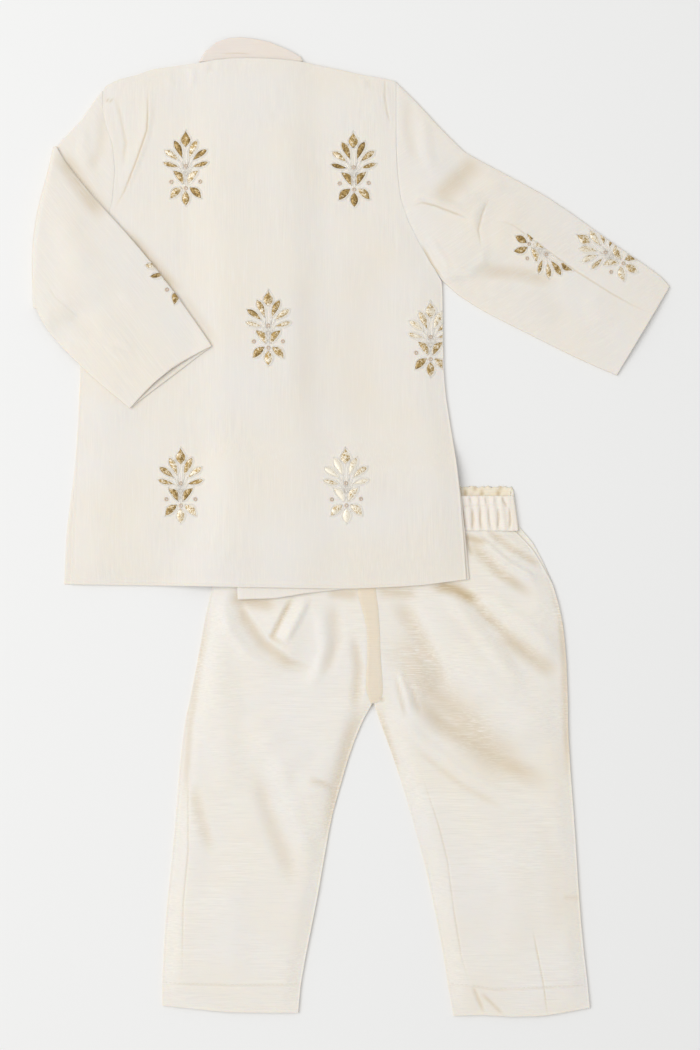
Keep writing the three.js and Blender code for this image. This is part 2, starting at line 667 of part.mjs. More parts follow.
function makeLeftSleeve() {
  const lying = (section, inset) => sleeveRing('left', section, inset, (flat, depth) => (
    new THREE.Vector3(flat.x, flat.y, depth)));
  const rings = (inset) => [
    ...leftUpperArm.map((section) => lying(section, inset)),
    ...elbowTurn(inset),
    ...leftForearm.map((section, station) => forearmRing(section, station, inset)),
  ];
  return wall('sleeve_left', IVORY, rings(0), rings(CLOTH), true);
}

const legRows = [TROUSER_HEM, -380, -362, -340, -318, -296, -272, -250, -228, -206, -186, -170, -156, -148];
const hipRows = [CROTCH, -126, -110, -94, -78, -62, -46, -32, -18, TROUSER_WAIST];

// A trouser piece from its outer edge to its inner edge or the middle seam
function trouserOutline(side, rise, columns) {
  const left = side === 'Left';
  const hem = left ? leftLegHem : rightLegHem;
  const steps = acrossSteps(columns, LEG_EDGE_SHARE);
  return [...legRows, ...hipRows].map((row) => {
    const inner = follow(trouserEdges, 'y', `inner${side}`, row) + (left ? -1 : 1) * SEAM_GAP / 2;
    const outer = follow(trouserEdges, 'y', `outer${side}`, row);
    const width = Math.abs(outer - inner);
    const hemShare = smooth((HEM_BEND_START - row) / (HEM_BEND_START - TROUSER_HEM));
    const waistShare = smooth((row - WAIST_BEND_START) / (TROUSER_WAIST - WAIST_BEND_START));
    const bandGap = row === TROUSER_WAIST ? SEAM_GAP : 0;
    return steps.map((share) => {
      const x = mix(outer, inner, left ? share : 1 - share);
      const drop = (follow(hem, 'x', 'y', x) - TROUSER_HEM) * hemShare;
      const outside = width * (left ? share : 1 - share);
      return { x, y: row + drop + rise * waistShare - bandGap, row, outside, inside: width - outside };
    });
  });
}

function trouserBackUnderside(point) {
  const outerEdge = smooth(point.outside / LEG_EDGE_SLOPE);
  const belowCrotch = smooth((CROTCH - point.row + LEG_EDGE_SLOPE / 2) / LEG_EDGE_SLOPE);
  const innerEdge = mix(1, smooth(point.inside / LEG_EDGE_SLOPE), belowCrotch);
  const nearHem = smooth((point.row - TROUSER_HEM + LEG_HEM_SLOPE / 3) / LEG_HEM_SLOPE);
  const clear = smooth((COAT_HEM - COAT_HEM_MARGIN - point.y) / HEM_BEND_TOP);
  const loft = TROUSER_LOFT + clear * foldHeight(trouserFolds, point.x, point.y);
  return CLOTH + LAYER_GAP + Math.max(0, loft) * outerEdge * innerEdge * nearHem;
}

function makeTrousers() {
  const pieces = [];
  for (const side of ['Left', 'Right']) {
    const end = side.toLowerCase();
    pieces.push(layer(`trouser_front_${end}`, PALE_IVORY, trouserOutline(side, BAND_RISE, 4), () => 0));
    pieces.push(layer(`trouser_back_${end}`, PALE_IVORY, trouserOutline(side, 0, 10), trouserBackUnderside));
  }
  return pieces;
}

// Waistband: a flattened ring, its upper half drawn into puckers by the elastic
function makeWaistband() {
  const heights = [0, 0.15, 0.85, 1];
  const topSteps = PUCKERS * PUCKER_STEPS;
  const height = 2 * BAND_CLOTH + LAYER_GAP;
  const ring = (share, inset) => {
    const left = BAND_LEFT + share * BAND_TAPER_LEFT + inset;
    const right = BAND_RIGHT - share * BAND_TAPER_RIGHT - inset;
    const points = [];
    for (let step = 0; step <= topSteps; step += 1) {
      const across = step / topSteps;
      const fromEnd = Math.min(across, 1 - across) * BAND_END_PUCKERS;
      const drawn = Math.sin(Math.PI / 2 * Math.min(1, fromEnd));
      const edges = mix(PUCKER_EDGE_SHARE, 1, Math.sin(Math.PI * share));
      const ripple = inset ? 0 : PUCKER_DEPTH * (0.5 - 0.5 * Math.cos(across * PUCKERS * 2 * Math.PI));
      const z = height - inset + ripple * edges * drawn;
      points.push({ x: mix(left + BAND_END_TUCK, right - BAND_END_TUCK, across), z, rise: 0 });
    }
    points.push({ x: right, z: height / 2, rise: 0.5 });
    for (let step = 0; step <= BAND_BOTTOM_STEPS; step += 1) {
      const across = 1 - step / BAND_BOTTOM_STEPS;
      points.push({ x: mix(left + BAND_END_TUCK, right - BAND_END_TUCK, across), z: inset, rise: 1 });
    }
    points.push({ x: left, z: height / 2, rise: 0.5 });
    return points.map(({ x, z, rise }) => (
      new THREE.Vector3(x, TROUSER_WAIST + share * BAND_HEIGHT + rise * BAND_RISE, z)));
  };
  const rings = (inset) => heights.map((share) => ring(share, inset));
  return wall('waistband', PALE_IVORY, rings(0), rings(BAND_CLOTH), true);
}

function makeButtons() {
  const bevel = 0.5;
  const profile = [
    new THREE.Vector2(0, 0),
    new THREE.Vector2(BUTTON_RADIUS - bevel, 0),
    new THREE.Vector2(BUTTON_RADIUS, bevel),
    new THREE.Vector2(BUTTON_RADIUS, BUTTON_THICKNESS - bevel / 2),
    new THREE.Vector2(BUTTON_RADIUS - bevel / 2, BUTTON_THICKNESS),
    new THREE.Vector2(0, BUTTON_THICKNESS),
  ];
  const buttons = [];
  for (let count = 0; count < BUTTONS; count += 1) {
    const geometry = new THREE.LatheGeometry(profile, 12);
    geometry.rotateX(Math.PI / 2);
    const button = new THREE.Mesh(geometry, GOLD);
    const y = FIRST_BUTTON_Y - count * BUTTON_SPACING;
    button.name = `button_${count + 1}`;
    button.position.set(centreLine(y), y, 0);
    buttons.push(button);
  }
  return buttons;
}

const set = new THREE.Group();
set.add(makeBack());
set.add(makeFront('coat_front_left', 'left', leftFrontHem, leftFrontUnderside));
set.add(makeFront('coat_front_right', 'right', rightFrontHem, rightFrontUnderside));
set.add(makeCollar());
set.add(makeRightSleeve());
set.add(makeLeftSleeve());
set.add(...makeButtons());
set.add(...makeTrousers());
set.add(makeWaistband());

// The origin goes to the middle of the set's underside
const box = new THREE.Box3().setFromObject(set);
set.position.set(-(box.min.x + box.max.x) / 2, -(box.min.y + box.max.y) / 2, -box.min.z);

export default set;
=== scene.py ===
# A toddler's sherwani set laid flat, face down, on a pale studio table: cloth, sewing and zari sprigs
import math
from collections import namedtuple

import bmesh
import bpy
import numpy as np
from mathutils import Matrix, Vector
from mathutils.bvhtree import BVHTree


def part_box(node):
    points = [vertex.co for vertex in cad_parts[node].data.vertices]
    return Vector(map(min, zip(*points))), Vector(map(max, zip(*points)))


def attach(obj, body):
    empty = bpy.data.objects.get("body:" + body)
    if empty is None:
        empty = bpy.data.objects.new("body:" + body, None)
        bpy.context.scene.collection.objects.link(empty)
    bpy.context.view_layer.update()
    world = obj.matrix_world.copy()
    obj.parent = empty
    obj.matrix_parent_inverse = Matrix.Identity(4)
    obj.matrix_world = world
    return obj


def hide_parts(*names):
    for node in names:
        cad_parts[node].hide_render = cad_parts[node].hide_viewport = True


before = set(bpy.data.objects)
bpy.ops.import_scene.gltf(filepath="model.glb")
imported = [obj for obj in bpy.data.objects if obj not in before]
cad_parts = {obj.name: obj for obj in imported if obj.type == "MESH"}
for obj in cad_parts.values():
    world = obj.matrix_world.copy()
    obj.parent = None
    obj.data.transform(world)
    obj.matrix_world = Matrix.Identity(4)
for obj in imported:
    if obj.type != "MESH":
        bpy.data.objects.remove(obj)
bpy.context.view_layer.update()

bl_info = {
    "name": "Sherwani set laid flat",
    "version": (1, 0, 0),
    "blender": (4, 5, 0),
    "location": "View3D > Sidebar > Sherwani",
    "description": "Dresses the fixed frame of a toddler's sherwani set in silk, sewing and zari sprigs",
    "category": "Object",
}

MM = 0.001

# A piece of cloth: its node and its own name, how often it is subdivided, the angle in degrees from which
# an edge counts as a rim, whether it is a tube, its flat cut and area, how it is held and what it rests on
Panel = namedtuple("Panel", "node piece level rim_angle tube cut area held rests_on")

COAT_PANELS = [
    Panel("coat_back", "silk_coat_back", 3, 55, False, (0.316, 0.424), 0.1145, "laid",
          ["coat_front_left", "coat_front_right"]),
    Panel("coat_front_left", "silk_coat_front_left", 2, 55, False, (0.183, 0.421), 0.0636, "laid", []),
    Panel("coat_front_right", "silk_coat_front_right", 2, 55, False, (0.196, 0.43), 0.0659, "laid",
          ["coat_front_left"]),
]
SLEEVES = [
    Panel("sleeve_right", "silk_sleeve_right", 3, 76, True, (0.32, 0.275), 0.045, "laid", []),
    Panel("sleeve_left", "silk_sleeve_left", 3, 76, True, (0.32, 0.275), 0.0445, "folded",
          ["coat_back"]),
]
COLLAR = Panel("coat_collar", "silk_collar", 3, 60, False, (0.24, 0.018), 0.0023, "folded", [])
TROUSER_PANELS = [
    Panel("trouser_front_left", "dupion_front_left", 2, 55, False, (0.174, 0.392), 0.0493, "laid", []),
    Panel("trouser_front_right", "dupion_front_right", 2, 55, False, (0.174, 0.395), 0.052, "laid", []),
    Panel("trouser_back_left", "dupion_back_left", 3, 55, False, (0.174, 0.385), 0.0486, "laid",
          ["trouser_front_left"]),
    Panel("trouser_back_right", "dupion_back_right", 3, 55, False, (0.174, 0.388), 0.0511, "laid",
          ["trouser_front_right"]),
]
WAISTBAND = Panel("waistband", "dupion_waistband", 2, 76, True, (0.47, 0.028), 0.0131, "gathered",
                  ["trouser_front_left", "trouser_front_right"])
ALL_PANELS = [*COAT_PANELS, *SLEEVES, COLLAR, *TROUSER_PANELS, WAISTBAND]

# A fold, crease or seam in millimetres: half its width, its height, how far it leans to its left,
# how strongly warm shade is painted into the cloth along it, and whether the cloth is cut along it so
# that it stays sharp
Fold = namedtuple("Fold", "points width height lean shade cut", defaults=(0, 0, False))

# Folds with no height only paint warm shade into the cloth, as along edges and in broad hollows of the
# trouser legs
FOLDS = {
    "coat_back": [
        Fold([(-162.4, 350), (-162.4, 330), (-163, 317), (-171.2, 293), (-181, 268), (-188, 256)], 1.3, -0.4,
             shade=0.6, cut=True),
        Fold([(-159, 350), (-160, 329), (-163, 311), (-171, 290), (-180, 268)], 7, 0.8, lean=0.6),
        Fold([(-189, 356), (-173, 355), (-163, 359), (-158, 363), (-147, 360)], 3, 0.6, lean=0.3),
        Fold([(-189, 346), (-184, 328), (-180, 307), (-182, 288)], 2.2, -0.4, shade=0.25),
        Fold([(-197, 341), (-189, 340.5)], 1.6, -0.3, shade=0.5),
        Fold([(-196, 340), (-192, 318), (-186, 300)], 6, 0.5),
        Fold([(27.4, 359), (27, 344), (29, 331), (31.6, 322)], 1.4, -0.45, shade=0.3, cut=True),
        Fold([(-128, 368), (-126, 360), (-128, 352)], 4, 0.6),
        Fold([(-147, 362), (-142, 352)], 4, 0.5),
        Fold([(-112, 371), (-113, 363)], 3, -0.4, shade=0.15),
        Fold([(9, 359), (10.5, 350)], 3, 0.5),
        Fold([(14, 358), (15, 351)], 2.5, -0.35, shade=0.12),
        # Painted shade along the folded forearm's edge, where it shadows the back
        Fold([(-184, 237), (-172, 224.8), (-160.4, 211.2), (-151.2, 200.8), (-136, 184)], 9, 0, shade=0.55),
        Fold([(-140, 188), (-128.8, 176.8), (-119.6, 163.2), (-108, 146)], 7, 0, shade=0.2),
        Fold([(-223, -43), (-115, -44.5), (-1, -46.5), (53, -44), (91, -39)], 2, 0.3),
        Fold([(-104, 330), (-98, 230), (-92, 130)], 34, 0.4),
        Fold([(20, 240), (2, 150), (8, 60)], 30, -0.4, shade=0.06),
        Fold([(-40, 210), (-36, 150), (-38, 90)], 14, -0.35, shade=0.1),
        Fold([(-110, 190), (-96, 178), (-84, 168)], 10, 0.4),
        Fold([(-200, 120), (-188, 60), (-190, 0)], 22, 0.4),
        Fold([(-176, 10), (-140, -14), (-110, -26)], 16, 0.5),
    ],
    "sleeve_right": [
        Fold([(115, 243), (122, 243.5), (130, 240.5), (155, 222), (180, 204), (207, 187), (224, 177.5),
              (238, 171)], 1.1, -0.3, shade=0.4, cut=True),
        Fold([(102, 296), (86, 280), (66, 260)], 13, -0.4, lean=-0.2, shade=0.42),
        Fold([(124, 276), (100, 266), (84, 262)], 10, 0.7),
        Fold([(50, 261), (60, 263), (70, 260), (91, 251.5)], 3.6, 1.4, lean=-0.4),
        Fold([(50, 256.5), (57, 259), (67, 256.5), (93, 246.5)], 1.4, -0.7, shade=0.45, cut=True),
        Fold([(110, 262), (104.5, 250), (101.5, 237), (103.5, 224)], 1.5, -0.6, shade=0.4, cut=True),
        Fold([(105, 262), (99.5, 250), (97, 236)], 3.6, 0.9),
        Fold([(72, 198), (95, 202), (106, 211), (110, 221)], 6, 1.2, lean=-0.3),
        Fold([(56, 226), (66, 208), (73, 198)], 2, -0.6, shade=0.6),
        Fold([(62, 232), (72, 216), (80, 204)], 5, 0.8),
        Fold([(98, 205), (130, 203), (166, 196)], 9, -0.9, shade=0.34),
        Fold([(140, 262), (120, 240), (118, 215)], 10, 0.6),
        Fold([(190, 190), (205, 160)], 16, 0.7),
        Fold([(150, 190), (172, 160)], 14, -0.5, shade=0.06),
        Fold([(46, 345), (46, 318), (52, 290)], 7, -0.6, shade=0.12),
        Fold([(58, 330), (60, 300), (66, 280)], 8, 0.9),
    ],
    "sleeve_left": [
        Fold([(-242, 193), (-236, 183), (-216, 166)], 1.1, -0.25, shade=0.12, cut=True),
        Fold([(-224, 170), (-206, 150)], 8, -0.5, shade=0.06),
        Fold([(-196, 140), (-184, 146), (-172, 142)], 5, 0.6),
        Fold([(-232, 250), (-215, 215), (-190, 190)], 18, 0.9),
        Fold([(-234, 300), (-223, 284), (-209, 263), (-196, 246)], 11, -1.0, shade=0.5),
        Fold([(-196, 336), (-200, 300), (-212, 280)], 8, -0.6, shade=0.14),
        Fold([(-214, 322), (-214, 300), (-204, 280)], 7, 0.7),
    ],
    "trouser_back_left": [
        Fold([(-92, -50), (-84, -72), (-70, -92), (-49, -108), (-30, -114)], 7.5, -1.3, lean=0.3,
             shade=0.42),
        Fold([(-104, -60), (-97, -82), (-82, -103), (-58, -118)], 8, 1.3),
        Fold([(-34, -56), (-44, -76), (-54, -93)], 6.5, 2.0, lean=0.3),
        Fold([(-46, -55), (-56, -74), (-63, -88), (-52, -97)], 3.6, -1.0, shade=0.6, cut=True),
        # Painted shade under the coat's hem
        Fold([(-98, -56), (-58, -63)], 10, -0.8, shade=0.5),
        Fold([(-20, -52), (8, -54)], 8, -0.4, shade=0.4),
        Fold([(-14, -58), (-12, -90), (-22, -120)], 9, -0.9, shade=0.25),
        Fold([(-26, -64), (-20, -100), (-32, -130)], 8, 1.0),
        Fold([(2, -84), (6, -112), (3, -150)], 7, -0.8, shade=0.35),
        Fold([(9, -140), (-2, -172), (-11, -206), (-20, -256)], 9, -0.7, shade=0.38),
        Fold([(-112, -58), (-121, -110), (-129, -160), (-133, -224)], 5, 0, shade=0.3),
        Fold([(-34, -202), (-22, -205), (-9, -211)], 4.5, -0.9, shade=0.35),
        Fold([(-36, -208), (-24, -211), (-12, -217)], 4, 0.7),
        Fold([(-78, -192), (-62, -240), (-42, -290)], 11, -1.0, shade=0.22),
        Fold([(-60, -180), (-44, -230), (-30, -270)], 12, 1.0),
        Fold([(-126, -205), (-120, -232), (-110, -262)], 8, -0.8, shade=0.25),
        Fold([(-112, -90), (-100, -150), (-100, -220)], 20, 1.1),
        Fold([(-100, -280), (-92, -320), (-96, -360)], 18, 0.6),
        Fold([(-130, -186), (-130, -259), (-134, -302), (-135, -362)], 1.1, -0.3, shade=0.25, cut=True),
        Fold([(-150, -365), (-96, -366.5), (-40, -366)], 1.2, -0.2, shade=0.14, cut=True),
    ],
    "trouser_back_right": [
        Fold([(99, -4), (106, -12), (124, -27), (145, -40), (158, -43)], 4.2, 1.9, lean=0.2),
        Fold([(92, -10), (118, -36), (146, -55)], 7, -1.1, shade=0.5),
        Fold([(108, -2), (130, -18), (154, -32)], 5, -0.8, shade=0.45),
        Fold([(106, -2), (112, -8), (116, -13)], 3, 1.0),
        Fold([(92, -4), (93, -14), (98, -24)], 3.5, -0.8, shade=0.45),
        # Painted shade under the coat's hem
        Fold([(64, -45), (84, -50), (104, -62)], 8, -0.9, shade=0.9),
        Fold([(20, -50), (54, -54)], 9, -0.5, shade=0.4),
        Fold([(156, -40), (168, -70), (171, -110), (172, -150), (174, -205)], 6, 0, shade=0.4),
        Fold([(21, -143), (29, -168), (39, -200)], 5, 0, shade=0.35),
        Fold([(46, -120), (51, -136), (56, -152)], 3.4, -0.6, shade=0.4),
        # Painted shade under the waistband
        Fold([(82, -6), (110, -13)], 5, -0.4, shade=0.6),
        Fold([(34, -80), (62, -126), (100, -168), (142, -206)], 25, 0, shade=0.42),
        Fold([(117, -84), (140, -100), (165, -119)], 11, -0.5, shade=0.42),
        Fold([(88, -50), (106, -70), (130, -92), (160, -117)], 6, -1.3, lean=-0.3, shade=0.5),
        Fold([(74, -52), (100, -80), (120, -106), (136, -128)], 10, 1.8),
        Fold([(108, -56), (140, -78), (166, -100)], 8, 1.2),
        Fold([(36, -55), (50, -80), (66, -112), (80, -140)], 12, -1.4, shade=0.4),
        Fold([(44, -128), (75, -158), (115, -184), (160, -208)], 14, -1.5, shade=0.48),
        Fold([(80, -128), (112, -150), (150, -172)], 13, 1.4),
        Fold([(33, -146), (58, -172), (94, -199), (128, -217)], 6, 1.1, lean=-0.2),
        Fold([(50, -176), (88, -206), (124, -226)], 4, -0.5, shade=0.2),
        Fold([(32, -114), (40, -116), (43, -127), (50, -148)], 3.4, 1.1, lean=0.3),
        Fold([(36, -120), (39, -134), (44, -152)], 3, -0.5, shade=0.3),
        Fold([(19, -139), (23, -137.5), (27, -138.5)], 2, -0.7, shade=0.75),
        Fold([(97, -366), (102, -378), (107, -389)], 2.4, -0.6, shade=0.35),
        Fold([(104, -372), (113, -381), (122, -390)], 2.4, -0.6, shade=0.35),
        Fold([(168, -297), (184, -297)], 2.6, -0.6, shade=0.3),
        Fold([(120, -240), (132, -290), (128, -350)], 22, 0.8),
        Fold([(150, -230), (164, -270), (168, -330)], 14, -0.5, shade=0.08),
        Fold([(56, -196), (70, -238), (77, -266), (82, -305), (88, -342), (95, -367)], 1.1, -0.3,
             shade=0.25, cut=True),
        Fold([(79, -366), (97, -367), (115, -370), (189, -367)], 1.2, -0.2, shade=0.14, cut=True),
        Fold([(145, -321), (148, -336), (154, -367), (157, -391)], 1.1, -0.35, shade=0.4, cut=True),
    ],
    "waistband": [
        Fold([(-86, 16.5), (20, 16.5), (131, 17)], 1.2, -0.5, shade=0.12, cut=True),
        Fold([(88.5, 15), (89, 6), (90.5, -2)], 2, -0.9, shade=0.6),
        Fold([(96.7, 15.5), (97.6, 6), (97, -2)], 2, -0.9, shade=0.5),
        Fold([(103.7, 17), (103.2, 7), (104.4, -2)], 1.6, -0.8, shade=0.45),
        Fold([(110.3, 16), (110, 8), (111.6, -1)], 1.5, -0.7, shade=0.3),
        Fold([(117.6, 15), (118, 6), (117, -2)], 1.8, -0.9, shade=0.4),
        Fold([(126.6, 16), (127.4, 6), (126.8, -2)], 1.6, -0.9, shade=0.5),
        Fold([(120.6, 24), (122.2, 20), (125, 16)], 1.5, -0.8, shade=0.5),
        Fold([(94.5, 24), (96.5, 19)], 1.4, -0.5, shade=0.25),
        Fold([(101.5, 24), (101, 18)], 1.4, 0.5),
        Fold([(107, 24), (108.5, 18)], 1.3, -0.5, shade=0.2),
        Fold([(114, 24), (113, 18)], 1.5, 0.5),
    ],
    "coat_collar": [
        Fold([(-104, 378.2), (-90, 378.6), (-80, 378)], 0.9, -0.2, shade=0.35, cut=True),
    ],
}

# The slight waves of the cloth between its folds, and the ragged top edge of the waistband, all in
# millimetres
WAVE_HEIGHT = 0.12
WAVE_SWAY = 1.3
RAGGED_HEIGHTS = (0.9, 0.5)
RAGGED_LENGTHS = (0.75, 1.9)
RAGGED_DEPTH = 5

# Folds of the waistband's hidden stretch, spaced like those that show, and of its inner face, each painted
# with warm shade
HIDDEN_BAND = (-84, 84)
HIDDEN_FOLD_SPACING = (6, 8)
HIDDEN_FOLD_LEAN = 0.8
HIDDEN_FOLD_WIDTH = (1.5, 2)
HIDDEN_FOLD_SHADE = (0.4, 0.6)
HIDDEN_FOLD_TOP = 16
HIDDEN_FOLD_MIDDLE = 7
HIDDEN_FOLD_FOOT = -2
INNER_FOLDS = [86.5, 91, 95.5, 99.8, 104, 108.2, 113.4, 117.2, 120.8]
INNER_FOLD_SLANT = 2.6
INNER_TOP = 32
INNER_FOOT = 25

# The strip over the trousers' middle seam: its left and right edges from the hem of the coat down, and
# how high it lies, how much its rims stand up and how deep its outer edges are tucked in
STRIP_EDGES = [
    ((4, -40), (20, -40)),
    ((5, -56), (21, -54)),
    ((9.5, -70), (22.6, -66)),
    ((12, -82), (23.4, -80)),
    ((12.2, -104), (24.2, -102)),
    ((11, -122), (26, -124)),
    ((11.5, -131), (26, -133)),
    ((15.5, -141.5), (24, -139)),
]
STRIP_COLUMNS = 8
STRIP_ROWS = 36
STRIP_LIFT = 0.3
STRIP_RIM = 0.35
STRIP_TUCK = -0.2

# Rows of stitches on the trouser hems, and the arch of one stitch: share of its length and height
STITCH_ROWS = [
    ("trouser_back_left", [(-149, -363.8), (-96, -365.3), (-41, -364.8)]),
    ("trouser_back_right", [(80, -364.8), (97, -365.8), (115, -368.8), (188, -365.8)]),
]
STITCH_ARCH = ((0, -0.12), (0.25, 0.06), (0.5, 0.1), (0.75, 0.06), (1, -0.12))

# One leaf of the sprig, worked in millimetres from the sprig's middle with its tip up
Leaf = namedtuple("Leaf", "shape base_x base_y tip_x tip_y width bend")

MIDDLE_LEAVES = [
    Leaf("spade", 0, 17.6, 0, 30.6, 7.4, 0),
    Leaf("almond", 0, -17.6, 0, -29.2, 6, 0),
]
SIDE_LEAVES = [
    Leaf("club", 2.7, 8.4, 9, 22.5, 4.8, 0.6),
    Leaf("club", 5.3, 6.6, 16.8, 15, 4.3, 0.4),
    Leaf("club", 5.2, 1.7, 17.8, 5, 3.4, -0.2),
    Leaf("almond", 1.6, -12.2, 9.8, -1.6, 5.2, 1.6),
    Leaf("almond", 3, -14.8, 12.2, -23.4, 5.6, 0.9),
]
SPADE_WIDEST = 0.42

# The stems' cords, how high the work stands on the cloth, and how far leaves differ in brightness
STEM_TOP = 12
STEM_FOOT = -16.5
STEM_SPACING = 0.6
STEM_SAG = 0.6
CORD_LIFT = 0.2 * MM
LEAF_FOOT = 0.05 * MM
GLINT_SPREAD = (-0.16, 0.26)

# Ring sequins by their middles, and the section of a ring
SEQUINS = [(-11.6, -10.3), (11.6, -10.3), (0, 2.4), (0, -15.4)]
RING_INNER = 0.7
RING_OUTER = 1.6
RING_FOOT = 0.1
RING_TOP = 0.6
RING_STEPS = 14

# A sprig: the node it is worked on, its middle, turn, size and brightness, and the line that ends it
Sprig = namedtuple("Sprig", "node x y turn size glint cut")

SPRIGS = [
    Sprig("coat_back", -132, 285.9, 0, 1, 0.0, None),
    Sprig("coat_back", 2.2, 284.8, 1, 1, -0.14, None),
    Sprig("coat_back", -66, 158.3, 0, 1, 0.1, None),
    Sprig("coat_back", 63.5, 149.4, 0, 1, 0.16, ((73, 150), (1, 0))),
    Sprig("coat_back", -136, 32.5, 0, 1, 0.06, None),
    Sprig("coat_back", -4, 32.5, 1, 1, 0.42, None),
    Sprig("sleeve_right", 154, 218.7, -120.7, 0.91, 0.0, ((152, 224.8), (0.631, 0.775))),
    Sprig("sleeve_right", 205, 218.2, 58.4, 0.95, 0.14, ((205, 229.4), (0.57, 0.82))),
    Sprig("sleeve_left", -142, 204, 30, 1, 0.1, ((-151.5, 201), (0.79, 0.61))),
]

# How the cloth is made: the crease of its rims, how often its points are fitted, how much of the node's
# plain outline it keeps, and how near it comes to the table
RIM_CREASE = 0.35
FITS = 3
PLAIN_SHARE = 0.65
CLOTH_LOWEST = 0.02 * MM

# How folds are pressed: the reach of a cut beyond its fold, the share of its length over which a fold
# fades and what is left at its very end, and how deep below a face its other layer may lie
CUT_MARGIN = 2
FADE_LENGTH = 0.3
FADE_END = 0.15
LAYER_DEPTH = 3 * MM

# From where work is dropped onto the cloth, and how far aside it looks for cloth at a seam
ABOVE = 50 * MM
SEAM_REACH = 0.6 * MM

# Places along a leaf where its cord bends, and how fast the cord opens out from the leaf's base
LOOP_SHARES = [0.02, 0.1, 0.2, 0.32, 0.44, 0.56, 0.68, 0.78, 0.87, 0.94]
LOOP_OPENING = 6

# How far the grain of each sleeve is turned clockwise from upright, in degrees
SLEEVE_GRAINS = (57, -38)

# How strongly slubs show, how much thinner and shorter dupion's are, and how strongly flecks show in zari
SLUB_SHARE = 0.75
DUPION_SLUB_WIDTH = 0.75
DUPION_SLUB_LENGTH = 0.8
FLECK_SHARE = 0.55

# Half the table's width in metres and its drop below the set, the soft box, and where the camera aims
TABLE_REACH = 3
TABLE_DROP = 0.1 * MM
SOFT_BOX_SIZE = 2.4
SOFT_BOX_PLACE = (-1.5, 0.4, 2.6)
CAMERA_AIM = (-0.8 * MM, 1.6 * MM)
CAMERA_SENSOR = 36


def linear(code):
    """Linear colour of an sRGB hex value."""
    channels = [int(code[start:start + 2], 16) / 255 for start in (1, 3, 5)]
    return [value / 12.92 if value <= 0.04045 else ((value + 0.055) / 1.055) ** 2.4 for value in channels]


def smooth(value):
    """Eases numbers from 0 to 1."""
    part = np.clip(value, 0, 1)
    return part * part * (3 - 2 * part)


class SherwaniCloth(bpy.types.PropertyGroup):
    """Colours and weave of the cloth"""
    coat: bpy.props.FloatVectorProperty(
        name="Coat", description="Ivory of the coat's silk", subtype="COLOR", default=linear("#F2EBE2"))
    collar: bpy.props.FloatVectorProperty(
        name="Collar", description="Blush ivory of the collar", subtype="COLOR", default=linear("#EFE5DC"))
    trousers: bpy.props.FloatVectorProperty(
        name="Trousers", description="Ivory of the trousers' dupion", subtype="COLOR",
        default=linear("#F5EEE5"))
    casing: bpy.props.FloatVectorProperty(
        name="Casing", description="Tan inside of the waistband", subtype="COLOR", default=linear("#F5EBD8"))
    strip: bpy.props.FloatVectorProperty(
        name="Strip", description="Warm ivory of the strip over the middle seam", subtype="COLOR",
        default=linear("#EDE1CE"))
    # Painted shade: the tan painted into the cloth's colour between folds and on its steep edges
    painted_shade_tan: bpy.props.FloatVectorProperty(
        name="Warmth", description="Tan that light takes on between folds and at cut edges",
        subtype="COLOR", default=linear("#CDB78E"))
    thread_spacing: bpy.props.FloatProperty(
        name="Thread spacing", description="Distance between threads, drawn coarser than the real 0.2 mm",
        unit="LENGTH", default=0.5 * MM)
    slub_width: bpy.props.FloatProperty(
        name="Slub width", description="Thickness of the thick places in the yarn", unit="LENGTH",
        default=0.9 * MM)
    slub_length: bpy.props.FloatProperty(
        name="Slub length", description="Length of the thick places in the yarn", unit="LENGTH",
        default=24 * MM)


class SherwaniZari(bpy.types.PropertyGroup):
    """Metal thread of the sprigs"""
    dark: bpy.props.FloatVectorProperty(
        name="Dark gold", description="Bronze of the thread in shade", subtype="COLOR",
        default=linear("#6E5426"))
    middle: bpy.props.FloatVectorProperty(
        name="Gold", description="Gold of the thread", subtype="COLOR", default=linear("#BA9A58"))
    bright: bpy.props.FloatVectorProperty(
        name="Bright gold", description="Gold of the thread where it glints", subtype="COLOR",
        default=linear("#F6EEDC"))
    cord: bpy.props.FloatVectorProperty(
        name="Cord", description="Pale silver of the cord round each leaf", subtype="COLOR",
        default=linear("#FFF8EC"))
    sequin: bpy.props.FloatVectorProperty(
        name="Sequin", description="Rose gold of the ring sequins", subtype="COLOR",
        default=linear("#E3CDB6"))
    leaf_height: bpy.props.FloatProperty(
        name="Leaf height", description="How far a worked leaf stands up", unit="LENGTH", default=0.45 * MM)
    cord_radius: bpy.props.FloatProperty(
        name="Cord radius", description="Half the cord's thickness", unit="LENGTH", default=0.32 * MM)
    inner_loop: bpy.props.FloatProperty(
        name="Inner loop", description="Distance from a leaf to the cord beside it", unit="LENGTH",
        default=0.4 * MM)
    outer_loop: bpy.props.FloatProperty(
        name="Outer loop", description="Distance from a leaf to the second cord", unit="LENGTH",
        default=1.2 * MM)
    fleck: bpy.props.FloatProperty(
        name="Fleck", description="Size of the glints in the laid thread", unit="LENGTH", default=0.75 * MM)


class SherwaniSewing(bpy.types.PropertyGroup):
    """Seams and stitches"""
    stitch: bpy.props.FloatProperty(
        name="Stitch", description="Length of one hem stitch", unit="LENGTH", default=2.4 * MM)
    stitch_gap: bpy.props.FloatProperty(
        name="Gap", description="Distance between hem stitches", unit="LENGTH", default=1.2 * MM)
    thread_radius: bpy.props.FloatProperty(
        name="Thread radius", description="Half the sewing thread's thickness", unit="LENGTH",
        default=0.14 * MM)
    seam_ease: bpy.props.FloatProperty(
        name="Seam ease", description="How far each edge is let out to meet its neighbour", unit="LENGTH",
        default=0.2 * MM)


